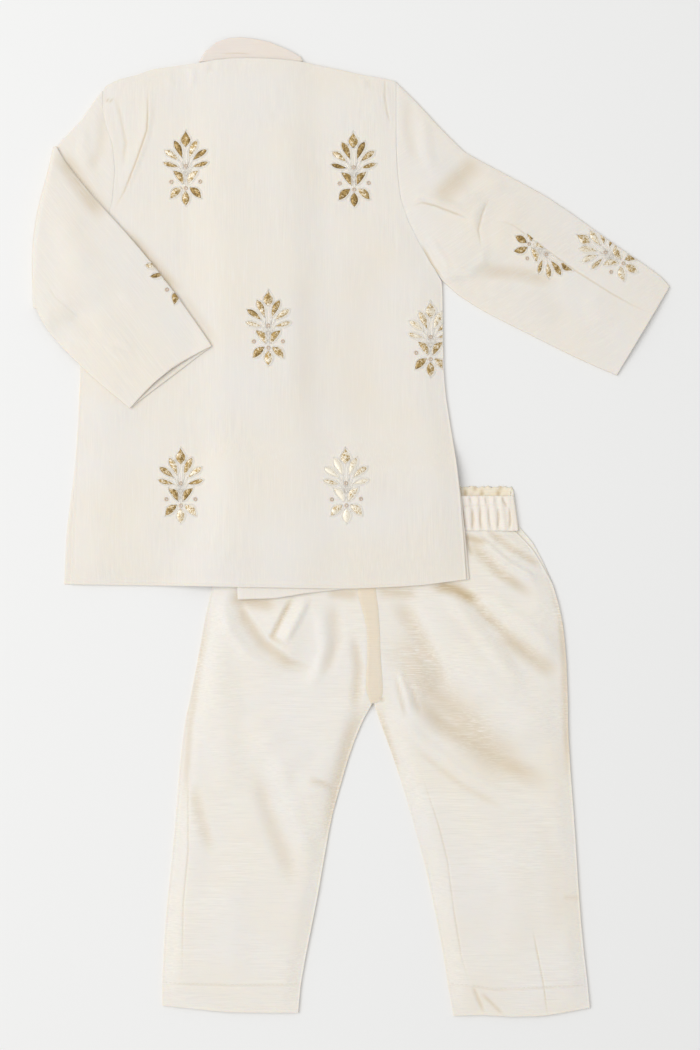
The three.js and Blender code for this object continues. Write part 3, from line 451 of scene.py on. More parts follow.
class SherwaniStage(bpy.types.PropertyGroup):
    """Table, light and camera"""
    table: bpy.props.FloatVectorProperty(
        name="Table", description="Pale table top", subtype="COLOR", default=linear("#F4F4F3"))
    view_height: bpy.props.FloatProperty(
        name="View", description="Height of the picture on the table", unit="LENGTH", default=840 * MM)
    camera_height: bpy.props.FloatProperty(
        name="Camera", description="Height of the camera above the table", unit="LENGTH", default=2.2)
    fill: bpy.props.FloatProperty(
        name="Fill", description="Strength of the light from all round", default=0.59)
    key: bpy.props.FloatProperty(
        name="Key", description="Power of the wide soft box", unit="POWER", default=46)


def add_node(tree, kind, links=None, **settings):
    """Adds a node with its settings, and with values or links on its sockets."""
    node = tree.nodes.new(kind)
    for name, value in settings.items():
        setattr(node, name, value)
    for socket, value in (links or {}).items():
        if isinstance(value, bpy.types.NodeSocket):
            tree.links.new(value, node.inputs[socket])
        else:
            node.inputs[socket].default_value = value
    return node


def new_material(name):
    """An empty node material."""
    material = bpy.data.materials.new(name)
    material.use_nodes = True
    material.node_tree.nodes.clear()
    return material, material.node_tree


def mix_colours(tree, factor, first, second):
    """The mix of two colours."""
    node = add_node(tree, "ShaderNodeMix", {"Factor": factor}, data_type="RGBA")
    for socket, value in ((node.inputs[6], first), (node.inputs[7], second)):
        if isinstance(value, bpy.types.NodeSocket):
            tree.links.new(value, socket)
        else:
            socket.default_value = (*value, 1)
    return node.outputs[2]


def band_scale(spacing):
    """Scale of a wave texture whose bands lie that far apart."""
    return math.pi / 10 / spacing


# The look of a silk: its colour, grain, slubs and gloss
Silk = namedtuple("Silk", "name colour grain slub_width slub_length slub_tone gap_tone roughness sheen glow")


def slub_noise(tree, place, along, look):
    """Noise drawn out along the grain, and the thick places in the yarn that it gives in patches."""
    stretch = (1 / look.slub_width, 1 / look.slub_length, 1 / look.slub_width)
    slub_place = add_node(tree, "ShaderNodeMapping", {"Vector": along, "Scale": stretch}).outputs[0]
    slubs = add_node(tree, "ShaderNodeTexNoise", {"Vector": slub_place, "Scale": 1, "Detail": 3,
                                                  "Roughness": 0.6}).outputs[0]
    patches = add_node(tree, "ShaderNodeTexNoise", {"Vector": place, "Scale": 24, "Detail": 1}).outputs[0]
    lines = add_node(tree, "ShaderNodeMapRange", {"Value": slubs, "From Min": 0.46, "From Max": 0.68})
    uneven = add_node(tree, "ShaderNodeMapRange", {"Value": patches, "From Min": 0.35, "From Max": 0.65})
    slub_lines = add_node(tree, "ShaderNodeMath", {0: lines.outputs[0], 1: uneven.outputs[0]},
                          operation="MULTIPLY").outputs[0]
    return slubs, slub_lines


def weave_height(tree, along, spacing):
    """Height of the threads that run both ways."""
    bands = band_scale(spacing)
    waves = [add_node(tree, "ShaderNodeTexWave", {"Vector": along, "Scale": bands, "Distortion": 0.6,
                                                  "Detail Scale": 2}, bands_direction=way).outputs[1]
             for way in ("X", "Y")]
    return add_node(tree, "ShaderNodeMath", {0: waves[0], 1: waves[1]}, operation="MAXIMUM").outputs[0]


def silk_ground(tree, place, slubs, look):
    """The silk's own colour, warmer and cooler in blotches, and toned where the yarn is thin."""
    blotches = add_node(tree, "ShaderNodeTexNoise", {"Vector": place, "Scale": 13, "Detail": 2}).outputs[0]
    warm = [look.colour[0] * 1.005, look.colour[1] * 0.99, look.colour[2] * 0.955]
    cool = [look.colour[0] * 0.985, look.colour[1] * 0.995, look.colour[2] * 1.015]
    spread = add_node(tree, "ShaderNodeMapRange", {"Value": blotches, "From Min": 0.35, "From Max": 0.65})
    tint = mix_colours(tree, spread.outputs[0], cool, warm)
    gaps = add_node(tree, "ShaderNodeMapRange", {"Value": slubs, "From Min": 0.46, "From Max": 0.3})
    return mix_colours(tree, gaps.outputs[0], tint, [value * look.gap_tone for value in look.colour])


def painted_shade_share(tree):
    """How far painted warm shade covers the cloth: along its folds, and on its steep cut edges."""
    shade = add_node(tree, "ShaderNodeAttribute", attribute_name="shade").outputs["Fac"]
    normal = add_node(tree, "ShaderNodeNewGeometry").outputs["True Normal"]
    upright = add_node(tree, "ShaderNodeSeparateXYZ", {0: normal}).outputs["Z"]
    steep = add_node(tree, "ShaderNodeMath", {0: upright}, operation="ABSOLUTE").outputs[0]
    # Steep faces, such as the cloth's cut edges, get painted warm shade
    edge = add_node(tree, "ShaderNodeMapRange", {"Value": steep, "From Min": 0.8, "From Max": 0.3,
                                                 "To Max": 0.25}).outputs[0]
    return add_node(tree, "ShaderNodeMath", {0: shade, 1: edge}, operation="MAXIMUM").outputs[0]


def silk(look):
    """Woven silk-like cloth: slubs along the grain, a fine weave, a soft sheen and painted warm shade in
    folds.
    """
    cloth = bpy.context.scene.sherwani_cloth
    material, tree = new_material(look.name)
    place = add_node(tree, "ShaderNodeTexCoord").outputs["Object"]
    turn = {"Vector": place, "Rotation": (0, 0, look.grain)}
    along = add_node(tree, "ShaderNodeMapping", turn).outputs[0]
    slubs, slub_lines = slub_noise(tree, place, along, look)
    weave = weave_height(tree, along, cloth.thread_spacing)
    ground = silk_ground(tree, place, slubs, look)
    # Painted shade: the tan mixed into the colour between folds and on steep edges
    shaded = mix_colours(tree, painted_shade_share(tree), ground, cloth.painted_shade_tan)
    # Slubs go on over the painted shade; dupion's lighter slubs are partly its yarn and partly a painted
    # highlight
    slub_share = add_node(tree, "ShaderNodeMath", {0: slub_lines, 1: SLUB_SHARE},
                          operation="MULTIPLY").outputs[0]
    finished = mix_colours(tree, slub_share, shaded, [value * look.slub_tone for value in look.colour])
    thread_bump = add_node(tree, "ShaderNodeBump", {"Height": weave, "Strength": 0.2,
                                                    "Distance": 0.04 * MM})
    slub_bump = add_node(tree, "ShaderNodeBump", {"Height": slub_lines, "Strength": 0.5,
                                                  "Distance": 0.08 * MM, "Normal": thread_bump.outputs[0]})
    shader = add_node(tree, "ShaderNodeBsdfPrincipled", {
        "Base Color": finished, "Roughness": look.roughness, "Normal": slub_bump.outputs[0],
        "Sheen Weight": look.sheen, "Sheen Roughness": 0.4, "Specular IOR Level": 0.35,
        "Subsurface Weight": look.glow, "Subsurface Radius": (1, 0.75, 0.5),
        "Subsurface Scale": 1.5 * MM})
    add_node(tree, "ShaderNodeOutputMaterial", {"Surface": shader.outputs[0]})
    return material


def art_silk(name, colour, grain=0.0):
    """Art silk with fine slubs that run with the grain, which give the faint upright lines."""
    cloth = bpy.context.scene.sherwani_cloth
    return silk(Silk(name, colour, grain, cloth.slub_width, cloth.slub_length, slub_tone=0.95, gap_tone=1.02,
                     roughness=0.62, sheen=0.15, glow=0.35))


def dupion(name, colour):
    """Dupion with slubs across the legs in short level dashes, painted lighter: partly the yarn, partly a
    painted highlight.
    """
    cloth = bpy.context.scene.sherwani_cloth
    slub_width = cloth.slub_width * DUPION_SLUB_WIDTH
    slub_length = cloth.slub_length * DUPION_SLUB_LENGTH
    return silk(Silk(name, colour, math.pi / 2, slub_width, slub_length, slub_tone=1.08, gap_tone=0.95,
                     roughness=0.42, sheen=0.2, glow=0.35))


def zari_leaf():
    """Laid metal thread: bronze to pale gold flecks of painted shade and glint, each leaf with its own share
    of glints.
    """
    zari = bpy.context.scene.sherwani_zari
    material, tree = new_material("zari_laid_metal_thread")
    place = add_node(tree, "ShaderNodeTexCoord").outputs["Object"]
    cells = add_node(tree, "ShaderNodeTexVoronoi", {"Vector": place, "Scale": 1 / zari.fleck})
    fleck = add_node(tree, "ShaderNodeSeparateColor", {0: cells.outputs["Color"]}).outputs[0]
    patches = add_node(tree, "ShaderNodeTexNoise", {"Vector": place, "Scale": 0.3 / MM}).outputs[0]
    glint = add_node(tree, "ShaderNodeAttribute", attribute_name="glint").outputs["Fac"]
    flecks = add_node(tree, "ShaderNodeMath", {0: fleck, 1: FLECK_SHARE}, operation="MULTIPLY").outputs[0]
    mixed = add_node(tree, "ShaderNodeMath", {0: flecks, 1: patches}, operation="ADD").outputs[0]
    level = add_node(tree, "ShaderNodeMath", {0: mixed, 1: glint}, operation="ADD").outputs[0]
    share = add_node(tree, "ShaderNodeMapRange", {"Value": level, "From Min": 0.33, "From Max": 1.25})
    ramp = add_node(tree, "ShaderNodeValToRGB", {"Fac": share.outputs[0]})
    steps = ramp.color_ramp.elements
    steps[0].position = 0.1
    steps[0].color = (*zari.dark, 1)
    steps[1].position = 0.92
    steps[1].color = (*zari.bright, 1)
    steps.new(0.5).color = (*zari.middle, 1)
    bump = add_node(tree, "ShaderNodeBump", {"Height": fleck, "Strength": 0.5, "Distance": 0.15 * MM})
    shader = add_node(tree, "ShaderNodeBsdfPrincipled", {
        "Base Color": ramp.outputs[0], "Metallic": 0.35, "Roughness": 0.45, "Normal": bump.outputs[0]})
    add_node(tree, "ShaderNodeOutputMaterial", {"Surface": shader.outputs[0]})
    return material


def twisted_cord():
    """Pale twisted silver cord, which shows as a raised white line, a little greyer in small patches."""
    zari = bpy.context.scene.sherwani_zari
    material, tree = new_material("zari_twisted_silver_cord")
    place = add_node(tree, "ShaderNodeTexCoord").outputs["Object"]
    twist = add_node(tree, "ShaderNodeTexNoise", {
        "Vector": place, "Scale": 1.1 / MM, "Detail": 1}).outputs[0]
    greyer_patches = add_node(tree, "ShaderNodeMapRange", {"Value": twist, "From Min": 0.3, "From Max": 0.45})
    colour = mix_colours(tree, greyer_patches.outputs[0], [value * 0.88 for value in zari.cord], zari.cord)
    bump = add_node(tree, "ShaderNodeBump", {"Height": twist, "Strength": 0.4, "Distance": 0.12 * MM})
    shader = add_node(tree, "ShaderNodeBsdfPrincipled", {
        "Base Color": colour, "Roughness": 0.4, "Normal": bump.outputs[0],
        "Subsurface Weight": 0.4, "Subsurface Radius": (1, 0.95, 0.9), "Subsurface Scale": 1 * MM})
    add_node(tree, "ShaderNodeOutputMaterial", {"Surface": shader.outputs[0]})
    return material


def plated(name, colour, roughness, metallic):
    """Stamped brass or foil with a light grain, which keeps it from shining like a mirror."""
    material, tree = new_material(name)
    place = add_node(tree, "ShaderNodeTexCoord").outputs["Object"]
    grain = add_node(tree, "ShaderNodeTexNoise", {"Vector": place, "Scale": 0.8 / MM}).outputs[0]
    bump = add_node(tree, "ShaderNodeBump", {"Height": grain, "Strength": 0.2, "Distance": 0.05 * MM})
    tinted = mix_colours(tree, grain, colour, [value * 0.8 for value in colour])
    shader = add_node(tree, "ShaderNodeBsdfPrincipled", {
        "Base Color": tinted, "Metallic": metallic, "Roughness": roughness, "Normal": bump.outputs[0]})
    add_node(tree, "ShaderNodeOutputMaterial", {"Surface": shader.outputs[0]})
    return material


def sewing_thread():
    """Mercerised cotton thread, a little brighter than the cloth."""
    material, tree = new_material("mercerised_thread")
    place = add_node(tree, "ShaderNodeTexCoord").outputs["Object"]
    ply = add_node(tree, "ShaderNodeTexNoise", {"Vector": place, "Scale": 1.5 / MM}).outputs[0]
    colour = mix_colours(tree, ply, linear("#F1EADD"), linear("#E2D8C6"))
    shader = add_node(tree, "ShaderNodeBsdfPrincipled", {"Base Color": colour, "Roughness": 0.5})
    add_node(tree, "ShaderNodeOutputMaterial", {"Surface": shader.outputs[0]})
    return material


def add_piece(name, mesh, materials):
    """A new object at the origin with its materials."""
    piece = bpy.data.objects.new(name, mesh)
    bpy.context.scene.collection.objects.link(piece)
    for material in materials:
        piece.data.materials.append(material)
    return piece


def coordinates(mesh, kind="co"):
    """Places or normals of a mesh's points as rows."""
    values = np.empty(len(mesh.vertices) * 3)
    mesh.vertices.foreach_get(kind, values)
    return values.reshape(-1, 3)


def evaluated(piece):
    """A new mesh of a piece with its modifiers applied."""
    piece.data.update()
    piece.update_tag()
    graph = bpy.context.evaluated_depsgraph_get()
    return bpy.data.meshes.new_from_object(piece.evaluated_get(graph))


def creased_wall(panel):
    """The node's wall in four-sided faces, with its rims and upright edges marked as creases."""
    shape = bmesh.new()
    shape.from_mesh(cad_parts[panel.node].data)
    bmesh.ops.remove_doubles(shape, verts=shape.verts, dist=0.02 * MM)
    bmesh.ops.join_triangles(shape, faces=shape.faces, angle_face_threshold=math.pi,
                             angle_shape_threshold=math.pi)
    crease = shape.edges.layers.float.new("crease_edge")
    for edge in shape.edges:
        if len(edge.link_faces) == 2 and edge.calc_face_angle() > math.radians(panel.rim_angle):
            line = (edge.verts[0].co - edge.verts[1].co).normalized()
            edge[crease] = 1 if abs(line.z) > 0.7 else RIM_CREASE
    mesh = bpy.data.meshes.new(panel.piece)
    shape.to_mesh(mesh)
    shape.free()
    return mesh


def finer_wall(panel):
    """The node's wall, subdivided smoothly through the node's own points and near its plain outline."""
    mesh = creased_wall(panel)
    rough = bpy.data.objects.new(panel.piece + "_rough", mesh)
    bpy.context.scene.collection.objects.link(rough)
    finer = rough.modifiers.new("finer", "SUBSURF")
    finer.use_limit_surface = False
    finer.levels = finer.render_levels = 2
    wanted = coordinates(mesh)
    held = wanted.copy()
    for _ in range(FITS):
        trial = evaluated(rough)
        held += wanted - coordinates(trial)[:len(wanted)]
        bpy.data.meshes.remove(trial)
        mesh.vertices.foreach_set("co", held.ravel())
    finer.levels = finer.render_levels = panel.level
    fine = evaluated(rough)
    places = coordinates(fine)
    mesh.vertices.foreach_set("co", wanted.ravel())
    rounded = evaluated(rough)
    finer.subdivision_type = "SIMPLE"
    plain = evaluated(rough)
    outline = coordinates(plain) * PLAIN_SHARE + coordinates(rounded) * (1 - PLAIN_SHARE)
    places[:, :2] = outline[:, :2]
    fine.vertices.foreach_set("co", places.ravel())
    bpy.data.objects.remove(rough)
    fine.name = panel.piece
    return fine


def cut_along(shape, fold):
    """Cuts the upper faces along a fold, in its middle and at both sides."""
    for start, end in zip(fold.points, fold.points[1:]):
        first = Vector((*start, 0)) * MM
        line = Vector((*end, 0)) * MM - first
        length = line.length
        line.normalize()
        side = Vector((-line.y, line.x, 0))
        reach = (fold.width * 2 + CUT_MARGIN) * MM
        for offset in (-fold.width, 0, fold.width):
            faces = []
            for face in shape.faces:
                away = face.calc_center_median() - first
                if (face.normal.z > 0.3 and abs(away.dot(side)) < reach
                        and -1 * MM < away.dot(line) < length + 1 * MM):
                    faces.append(face)
            edges = {edge for face in faces for edge in face.edges}
            points = {point for face in faces for point in face.verts}
            bmesh.ops.bisect_plane(shape, geom=[*faces, *edges, *points], dist=0.01 * MM,
                                   plane_co=first + side * offset * MM, plane_no=side)


def beside(points, x, y):
    """Distance from places to a line of points, above zero to the line's left."""
    nearest = np.full(x.shape, 1e9)
    signed = np.zeros(x.shape)
    for start, end in zip(points, points[1:]):
        dx, dy = end[0] - start[0], end[1] - start[1]
        length = math.hypot(dx, dy)
        ax, ay = x - start[0], y - start[1]
        along = np.clip((ax * dx + ay * dy) / length, 0, length)
        gap = np.hypot(ax - dx / length * along, ay - dy / length * along)
        side = np.where(dx * ay - dy * ax >= 0, 1, -1)
        signed = np.where(gap < nearest, gap * side, signed)
        nearest = np.minimum(nearest, gap)
    return signed


def profile(fold, x, y):
    """A fold's rounded section, which leans to one side and dies away at its ends."""
    aside = beside(fold.points, x, y)
    reach = fold.width * np.where(aside > 0, 1 - fold.lean, 1 + fold.lean)
    (x1, y1), (x2, y2) = fold.points[0], fold.points[-1]
    dx, dy = x2 - x1, y2 - y1
    along = ((x - x1) * dx + (y - y1) * dy) / (dx * dx + dy * dy)
    ends = smooth(np.minimum(along, 1 - along) / FADE_LENGTH + FADE_END)
    return smooth(1 - np.abs(aside) / reach) * ends


def layers_above(tree, place):
    """How many faces of the piece lie above a point, up to two, and how far the first one is."""
    up = Vector((0, 0, 1))
    first = tree.ray_cast(Vector(place) + up * 0.1 * MM, up)
    if first[0] is None:
        return 0, 0
    second = tree.ray_cast(first[0] + up * 0.05 * MM, up)
    return (1 if second[0] is None else 2), first[3]


def skins(mesh, tube):
    """How far each point follows the folds, and which points lie on the upper face."""
    normals = coordinates(mesh, "normal")
    top = smooth((normals[:, 2] - 0.25) / 0.5)
    if not tube:
        return np.ones(len(top)), top
    follow = smooth((np.abs(normals[:, 2]) - 0.2) / 0.5)
    shape = bmesh.new()
    shape.from_mesh(mesh)
    tree = BVHTree.FromBMesh(shape)
    shape.free()
    places = coordinates(mesh)
    for index in np.nonzero(follow)[0]:
        count, distance = layers_above(tree, places[index])
        wanted = 0 if normals[index, 2] > 0 else 1
        if count != wanted or distance > LAYER_DEPTH:
            follow[index] = 0
            top[index] = 0
    return follow, top


def band_folds():
    """Folds of the waistband where the coat hides it, spaced by chance like those that show."""
    chance = np.random.default_rng(5)
    folds = []
    x = HIDDEN_BAND[0]
    while x < HIDDEN_BAND[1]:
        lean = chance.uniform(-HIDDEN_FOLD_LEAN, HIDDEN_FOLD_LEAN)
        line = [(x, HIDDEN_FOLD_TOP), (x + lean, HIDDEN_FOLD_MIDDLE), (x + lean / 2, HIDDEN_FOLD_FOOT)]
        width = chance.uniform(*HIDDEN_FOLD_WIDTH)
        folds.append(Fold(line, width, -0.8, shade=chance.uniform(*HIDDEN_FOLD_SHADE)))
        x += chance.uniform(*HIDDEN_FOLD_SPACING)
    for x in INNER_FOLDS:
        line = [(x - INNER_FOLD_SLANT / 2, INNER_TOP + 1), (x + INNER_FOLD_SLANT / 2, INNER_FOOT - 1)]
        folds.append(Fold(line, 1, -0.5, shade=0.8))
    return folds


def waves_between_folds(x, y):
    """The slight unevenness of cloth that lies loose."""
    return WAVE_HEIGHT * np.sin(x / 17 + np.sin(y / 29)) * np.sin(y / 23 + WAVE_SWAY * np.sin(x / 41))


def ragged_top(x, y):
    """How far the gathers push the waistband's top edge up and down."""
    ragged = RAGGED_HEIGHTS[0] * np.sin(x / RAGGED_LENGTHS[0])
    ragged += RAGGED_HEIGHTS[1] * np.sin(x / RAGGED_LENGTHS[1] + 1)
    return ragged * smooth((y - INNER_TOP + RAGGED_DEPTH) / RAGGED_DEPTH)


def press_folds(mesh, panel):
    """Presses the folds and seams of a node into its cloth, and notes where warm shade is painted."""
    folds = [*FOLDS.get(panel.node, [])]
    if panel is WAISTBAND:
        folds += band_folds()
    shape = bmesh.new()
    shape.from_mesh(mesh)
    for fold in folds:
        if fold.cut:
            cut_along(shape, fold)
    shape.to_mesh(mesh)
    shape.free()
    places = coordinates(mesh)
    normals = coordinates(mesh, "normal")
    follow, top = skins(mesh, panel.tube)
    x, y = places[:, 0] / MM, places[:, 1] / MM
    lift = waves_between_folds(x, y) if panel.node in FOLDS else np.zeros(len(x))
    shade = np.zeros(len(x))
    for fold in folds:
        share = profile(fold, x, y)
        lift += fold.height * share
        shade = np.maximum(shade, fold.shade * share)
    places[:, 2] += lift * follow * MM
    level = np.hypot(normals[:, 0], normals[:, 1])
    ease = bpy.context.scene.sherwani_sewing.seam_ease * smooth((level - 0.4) / 0.3) / np.maximum(level, 0.1)
    places[:, :2] += normals[:, :2] * ease[:, None]
    if panel is WAISTBAND:
        places[:, 1] += ragged_top(x, y) * MM
    places[:, 2] = np.maximum(places[:, 2], CLOTH_LOWEST)
    mesh.vertices.foreach_set("co", places.ravel())
    attribute = mesh.attributes.new("shade", "FLOAT", "POINT")
    attribute.data.foreach_set("value", (shade * (top > 0)).astype(np.float32))


def dress(panel, materials):
    """Makes the cloth of one panel on its node, and says what it is."""
    mesh = finer_wall(panel)
    press_folds(mesh, panel)
    mesh.polygons.foreach_set("use_smooth", [True] * len(mesh.polygons))
    mesh.materials.clear()
    piece = add_piece(panel.piece, mesh, materials)
    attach(piece, "root")
    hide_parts(panel.node)
    return piece


def lay_on(shape, nodes):
    """Drops a flat shape onto the cloth of some nodes, keeping its own height over it."""
    ground = bmesh.new()
    for panel in ALL_PANELS:
        if panel.node in nodes:
            ground.from_mesh(bpy.data.objects[panel.piece].data)
    tree = BVHTree.FromBMesh(ground)
    ground.free()
    lost = []
    for vert in shape.verts:
        heights = [hit[0].z for hit in (
            tree.ray_cast(Vector((vert.co.x + aside, vert.co.y, ABOVE)), Vector((0, 0, -1)))
            for aside in (0, -SEAM_REACH, SEAM_REACH)) if hit[0] is not None]
        if heights:
            vert.co.z += heights[0]
        else:
            lost.append(vert)
    bmesh.ops.delete(shape, geom=lost, context="VERTS")


def leaf_half_width(shape, share):
    """Half width of a leaf, as a share of its full width, from its base to its tip."""
    if shape == "club":
        return 0.5 * math.sin(math.pi * share ** 1.5) ** 0.7
    if shape == "spade":
        if share < SPADE_WIDEST:
            return 0.5 * math.sin(math.pi / 2 * share / SPADE_WIDEST) ** 0.9
        return 0.5 * math.cos(math.pi / 2 * (share - SPADE_WIDEST) / (1 - SPADE_WIDEST)) ** 1.7
    return 0.5 * math.sin(math.pi * share) ** 0.85


def leaf_place(leaf, share, side, extra=0.0):
    """A place on a leaf: along it, and across it by its width and an extra margin."""
    dx, dy = leaf.tip_x - leaf.base_x, leaf.tip_y - leaf.base_y
    length = math.hypot(dx, dy)
    across = side * (leaf_half_width(leaf.shape, share) * leaf.width + extra)
    across += leaf.bend * math.sin(math.pi * share)
    x = leaf.base_x + dx * share - dy / length * across
    y = leaf.base_y + dy * share + dx / length * across
    return x, y


def sprig_leaves():
    """All the leaves of a sprig, with the right-hand side ones mirrored to the left."""
    mirrored = [leaf._replace(base_x=-leaf.base_x, tip_x=-leaf.tip_x, bend=-leaf.bend)
                for leaf in SIDE_LEAVES]
    return [*MIDDLE_LEAVES, *SIDE_LEAVES, *mirrored]


def place_sprig(sprig):
    """The turn, size and place of a sprig."""
    move = Matrix.Translation((sprig.x * MM, sprig.y * MM, 0))
    size = Matrix.Diagonal((sprig.size * MM, sprig.size * MM, 1, 1))
    return move @ Matrix.Rotation(math.radians(sprig.turn), 4, "Z") @ size


def trim(shape, sprig):
    """Cuts a sprig off at its seam or edge."""
    if sprig.cut is None:
        return
    (x, y), (nx, ny) = sprig.cut
    geometry = [*shape.verts, *shape.edges, *shape.faces]
    bmesh.ops.bisect_plane(shape, geom=geometry, dist=0.001 * MM, plane_co=(x * MM, y * MM, 0),
                           plane_no=(nx, ny, 0), clear_outer=True)


def join_into(target, part):
    """Adds one shape to another."""
    mesh = bpy.data.meshes.new("part")
    part.to_mesh(mesh)
    part.free()
    target.from_mesh(mesh)
    bpy.data.meshes.remove(mesh)


def worked_leaf(leaf, glint, height):
    """One leaf of laid thread: a low dome, worked in ribs."""
    shape = bmesh.new()
    bmesh.ops.create_grid(shape, x_segments=14, y_segments=6, size=0.5)
    layer = shape.verts.layers.float.new("glint")
    for vert in shape.verts:
        share = min(max(vert.co.x + 0.5, 0.015), 0.985)
        side = vert.co.y * 2
        x, y = leaf_place(leaf, share, side)
        dome = (1 - abs(side) ** 2.4) * math.sin(math.pi * share) ** 0.4
        vert.co = (x, y, height * dome + LEAF_FOOT)
        vert[layer] = glint
    return shape


def cord_shape(lines, radius):
    """Round cords along flat lines, as one shape."""
    curve = bpy.data.curves.new("cord", "CURVE")
    curve.dimensions = "3D"
    curve.bevel_depth = radius
    curve.bevel_resolution = 1
    curve.use_fill_caps = True
    for points in lines:
        spline = curve.splines.new("POLY")
        spline.points.add(len(points) - 1)
        for point, place in zip(spline.points, points):
            point.co = (*place, 1)
    maker = bpy.data.objects.new("cord", curve)
    mesh = bpy.data.meshes.new_from_object(maker)
    shape = bmesh.new()
    shape.from_mesh(mesh)
    bpy.data.objects.remove(maker)
    bpy.data.curves.remove(curve)
    bpy.data.meshes.remove(mesh)
    return shape


def leaf_loop(leaf, offset):
    """A cord round one leaf, which starts and ends at its base."""
    beside_leaf = [(share, offset * min(1, share * LOOP_OPENING)) for share in LOOP_SHARES]
    rise = [leaf_place(leaf, share, 1, away) for share, away in beside_leaf]
    fall = [leaf_place(leaf, share, -1, away) for share, away in reversed(beside_leaf)]
    dx, dy = leaf.tip_x - leaf.base_x, leaf.tip_y - leaf.base_y
    reach = 1 + offset / math.hypot(dx, dy)
    tip = (leaf.base_x + dx * reach, leaf.base_y + dy * reach)
    return [*rise, tip, *fall]


def stem_lines():
    """Cords down the stem and out to the base of each leaf."""
    lines = []
    for side in (-1, 1):
        lines.append([(side * 0.7, STEM_FOOT), (side * 0.6, -8), (side * 0.7, 2), (side * 1.1, STEM_TOP),
                      (side * 0.5, 17.8)])
        lines.append([(side * 2, -11.5), (side * 1.9, -6), (side * 2.2, 3), (side * 2.6, 9)])
        for leaf in SIDE_LEAVES[:3]:
            foot = leaf.base_y * 0.5 - 6.5
            middle = (foot + leaf.base_y) / 2
            for apart in (-STEM_SPACING, STEM_SPACING):
                lines.append([(side * (0.9 + apart), foot),
                              (side * (leaf.base_x * 0.5 + apart), middle - STEM_SAG),
                              (side * (leaf.base_x + apart * 0.6), leaf.base_y)])
    return lines


def sprig_lines(zari):
    """All the cords of a sprig: two round each leaf, and the stems."""
    loops = [leaf_loop(leaf, offset / MM) for leaf in sprig_leaves()
             for offset in (zari.inner_loop, zari.outer_loop)]
    return [*loops, *stem_lines()]


def ring_sequin(x, y):
    """A small flat ring, spun from a square section."""
    shape = bmesh.new()
    corners = [(RING_INNER, RING_FOOT), (RING_OUTER, RING_FOOT),
               (RING_OUTER, RING_TOP), (RING_INNER, RING_TOP)]
    section = [shape.verts.new((out, 0, height * MM)) for out, height in corners]
    edges = [shape.edges.new((section[index], section[(index + 1) % 4])) for index in range(4)]
    bmesh.ops.spin(shape, geom=[*section, *edges], cent=(0, 0, 0), axis=(0, 0, 1), angle=2 * math.pi,
                   steps=RING_STEPS, use_merge=True)
    bmesh.ops.remove_doubles(shape, verts=shape.verts, dist=1e-5)
    bmesh.ops.recalc_face_normals(shape, faces=shape.faces)
    bmesh.ops.translate(shape, verts=shape.verts, vec=(x, y, 0))
    return shape


def work_sprig(sprig, chance, lines, zari):
    """The leaves, cords and ring sequins of one sprig, laid on its cloth."""
    leaves, rings = bmesh.new(), bmesh.new()
    leaves.verts.layers.float.new("glint")
    for leaf in sprig_leaves():
        glint = sprig.glint + chance.uniform(*GLINT_SPREAD)
        join_into(leaves, worked_leaf(leaf, glint, zari.leaf_height))
    cords = cord_shape(lines, zari.cord_radius / MM)
    for vert in cords.verts:
        vert.co.z = CORD_LIFT + vert.co.z * MM
    for x, y in SEQUINS:
        join_into(rings, ring_sequin(x, y))
    parts = [leaves, cords, rings]
    for part in parts:
        part.transform(place_sprig(sprig))
        trim(part, sprig)
        lay_on(part, [sprig.node])
    return parts


def strip_shape():
    """The strip over the trousers' middle seam, laid on the cloth, with a raised rim at both sides."""
    strip = bmesh.new()
    bmesh.ops.create_grid(strip, x_segments=STRIP_COLUMNS, y_segments=STRIP_ROWS, size=0.5)
    rows = len(STRIP_EDGES) - 1
    for vert in strip.verts:
        across, down = vert.co.x + 0.5, (vert.co.y + 0.5) * rows
        row = min(int(down), rows - 1)
        share = down - row
        edges = [[STRIP_EDGES[row][side][axis] * (1 - share) + STRIP_EDGES[row + 1][side][axis] * share
                  for axis in (0, 1)] for side in (0, 1)]
        place = [edges[0][axis] * (1 - across) + edges[1][axis] * across for axis in (0, 1)]
        hem = abs(across * 2 - 1)
        height = STRIP_TUCK if hem > 0.99 else STRIP_LIFT + STRIP_RIM * hem ** 6
        vert.co = (place[0] * MM, place[1] * MM, height * MM)
    lay_on(strip, ["trouser_back_left", "trouser_back_right"])
    bmesh.ops.recalc_face_normals(strip, faces=strip.faces)
    return strip


def stitch_lines(points, sewing):
    """The stitches of one row, each a small arch of thread."""
    reach = sewing.stitch / MM
    step = reach + sewing.stitch_gap / MM
    lines = []
    for start, end in zip(points, points[1:]):
        length = math.hypot(end[0] - start[0], end[1] - start[1])
        dx, dy = (end[0] - start[0]) / length, (end[1] - start[1]) / length
        for count in range(int(length / step)):
            x, y = start[0] + dx * count * step, start[1] + dy * count * step
            lines.append([((x + dx * reach * share) * MM, (y + dy * reach * share) * MM, height * MM)
                          for share, height in STITCH_ARCH])
    return lines


def add_trim(shape, name, material):
    """Turns joined work into one piece that goes with the set."""
    mesh = bpy.data.meshes.new(name)
    shape.to_mesh(mesh)
    shape.free()
    mesh.polygons.foreach_set("use_smooth", [True] * len(mesh.polygons))
    piece = add_piece(name, mesh, [material])
    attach(piece, "root")
    return piece


class SHERWANI_OT_coat(bpy.types.Operator):
    """Dress the coat's back and fronts"""
    bl_idname = "sherwani.coat"
    bl_label = "Coat body"

    def execute(self, context):
        material = art_silk("art_silk_coat", context.scene.sherwani_cloth.coat)
        for panel in COAT_PANELS:
            dress(panel, [material])
        return {"FINISHED"}


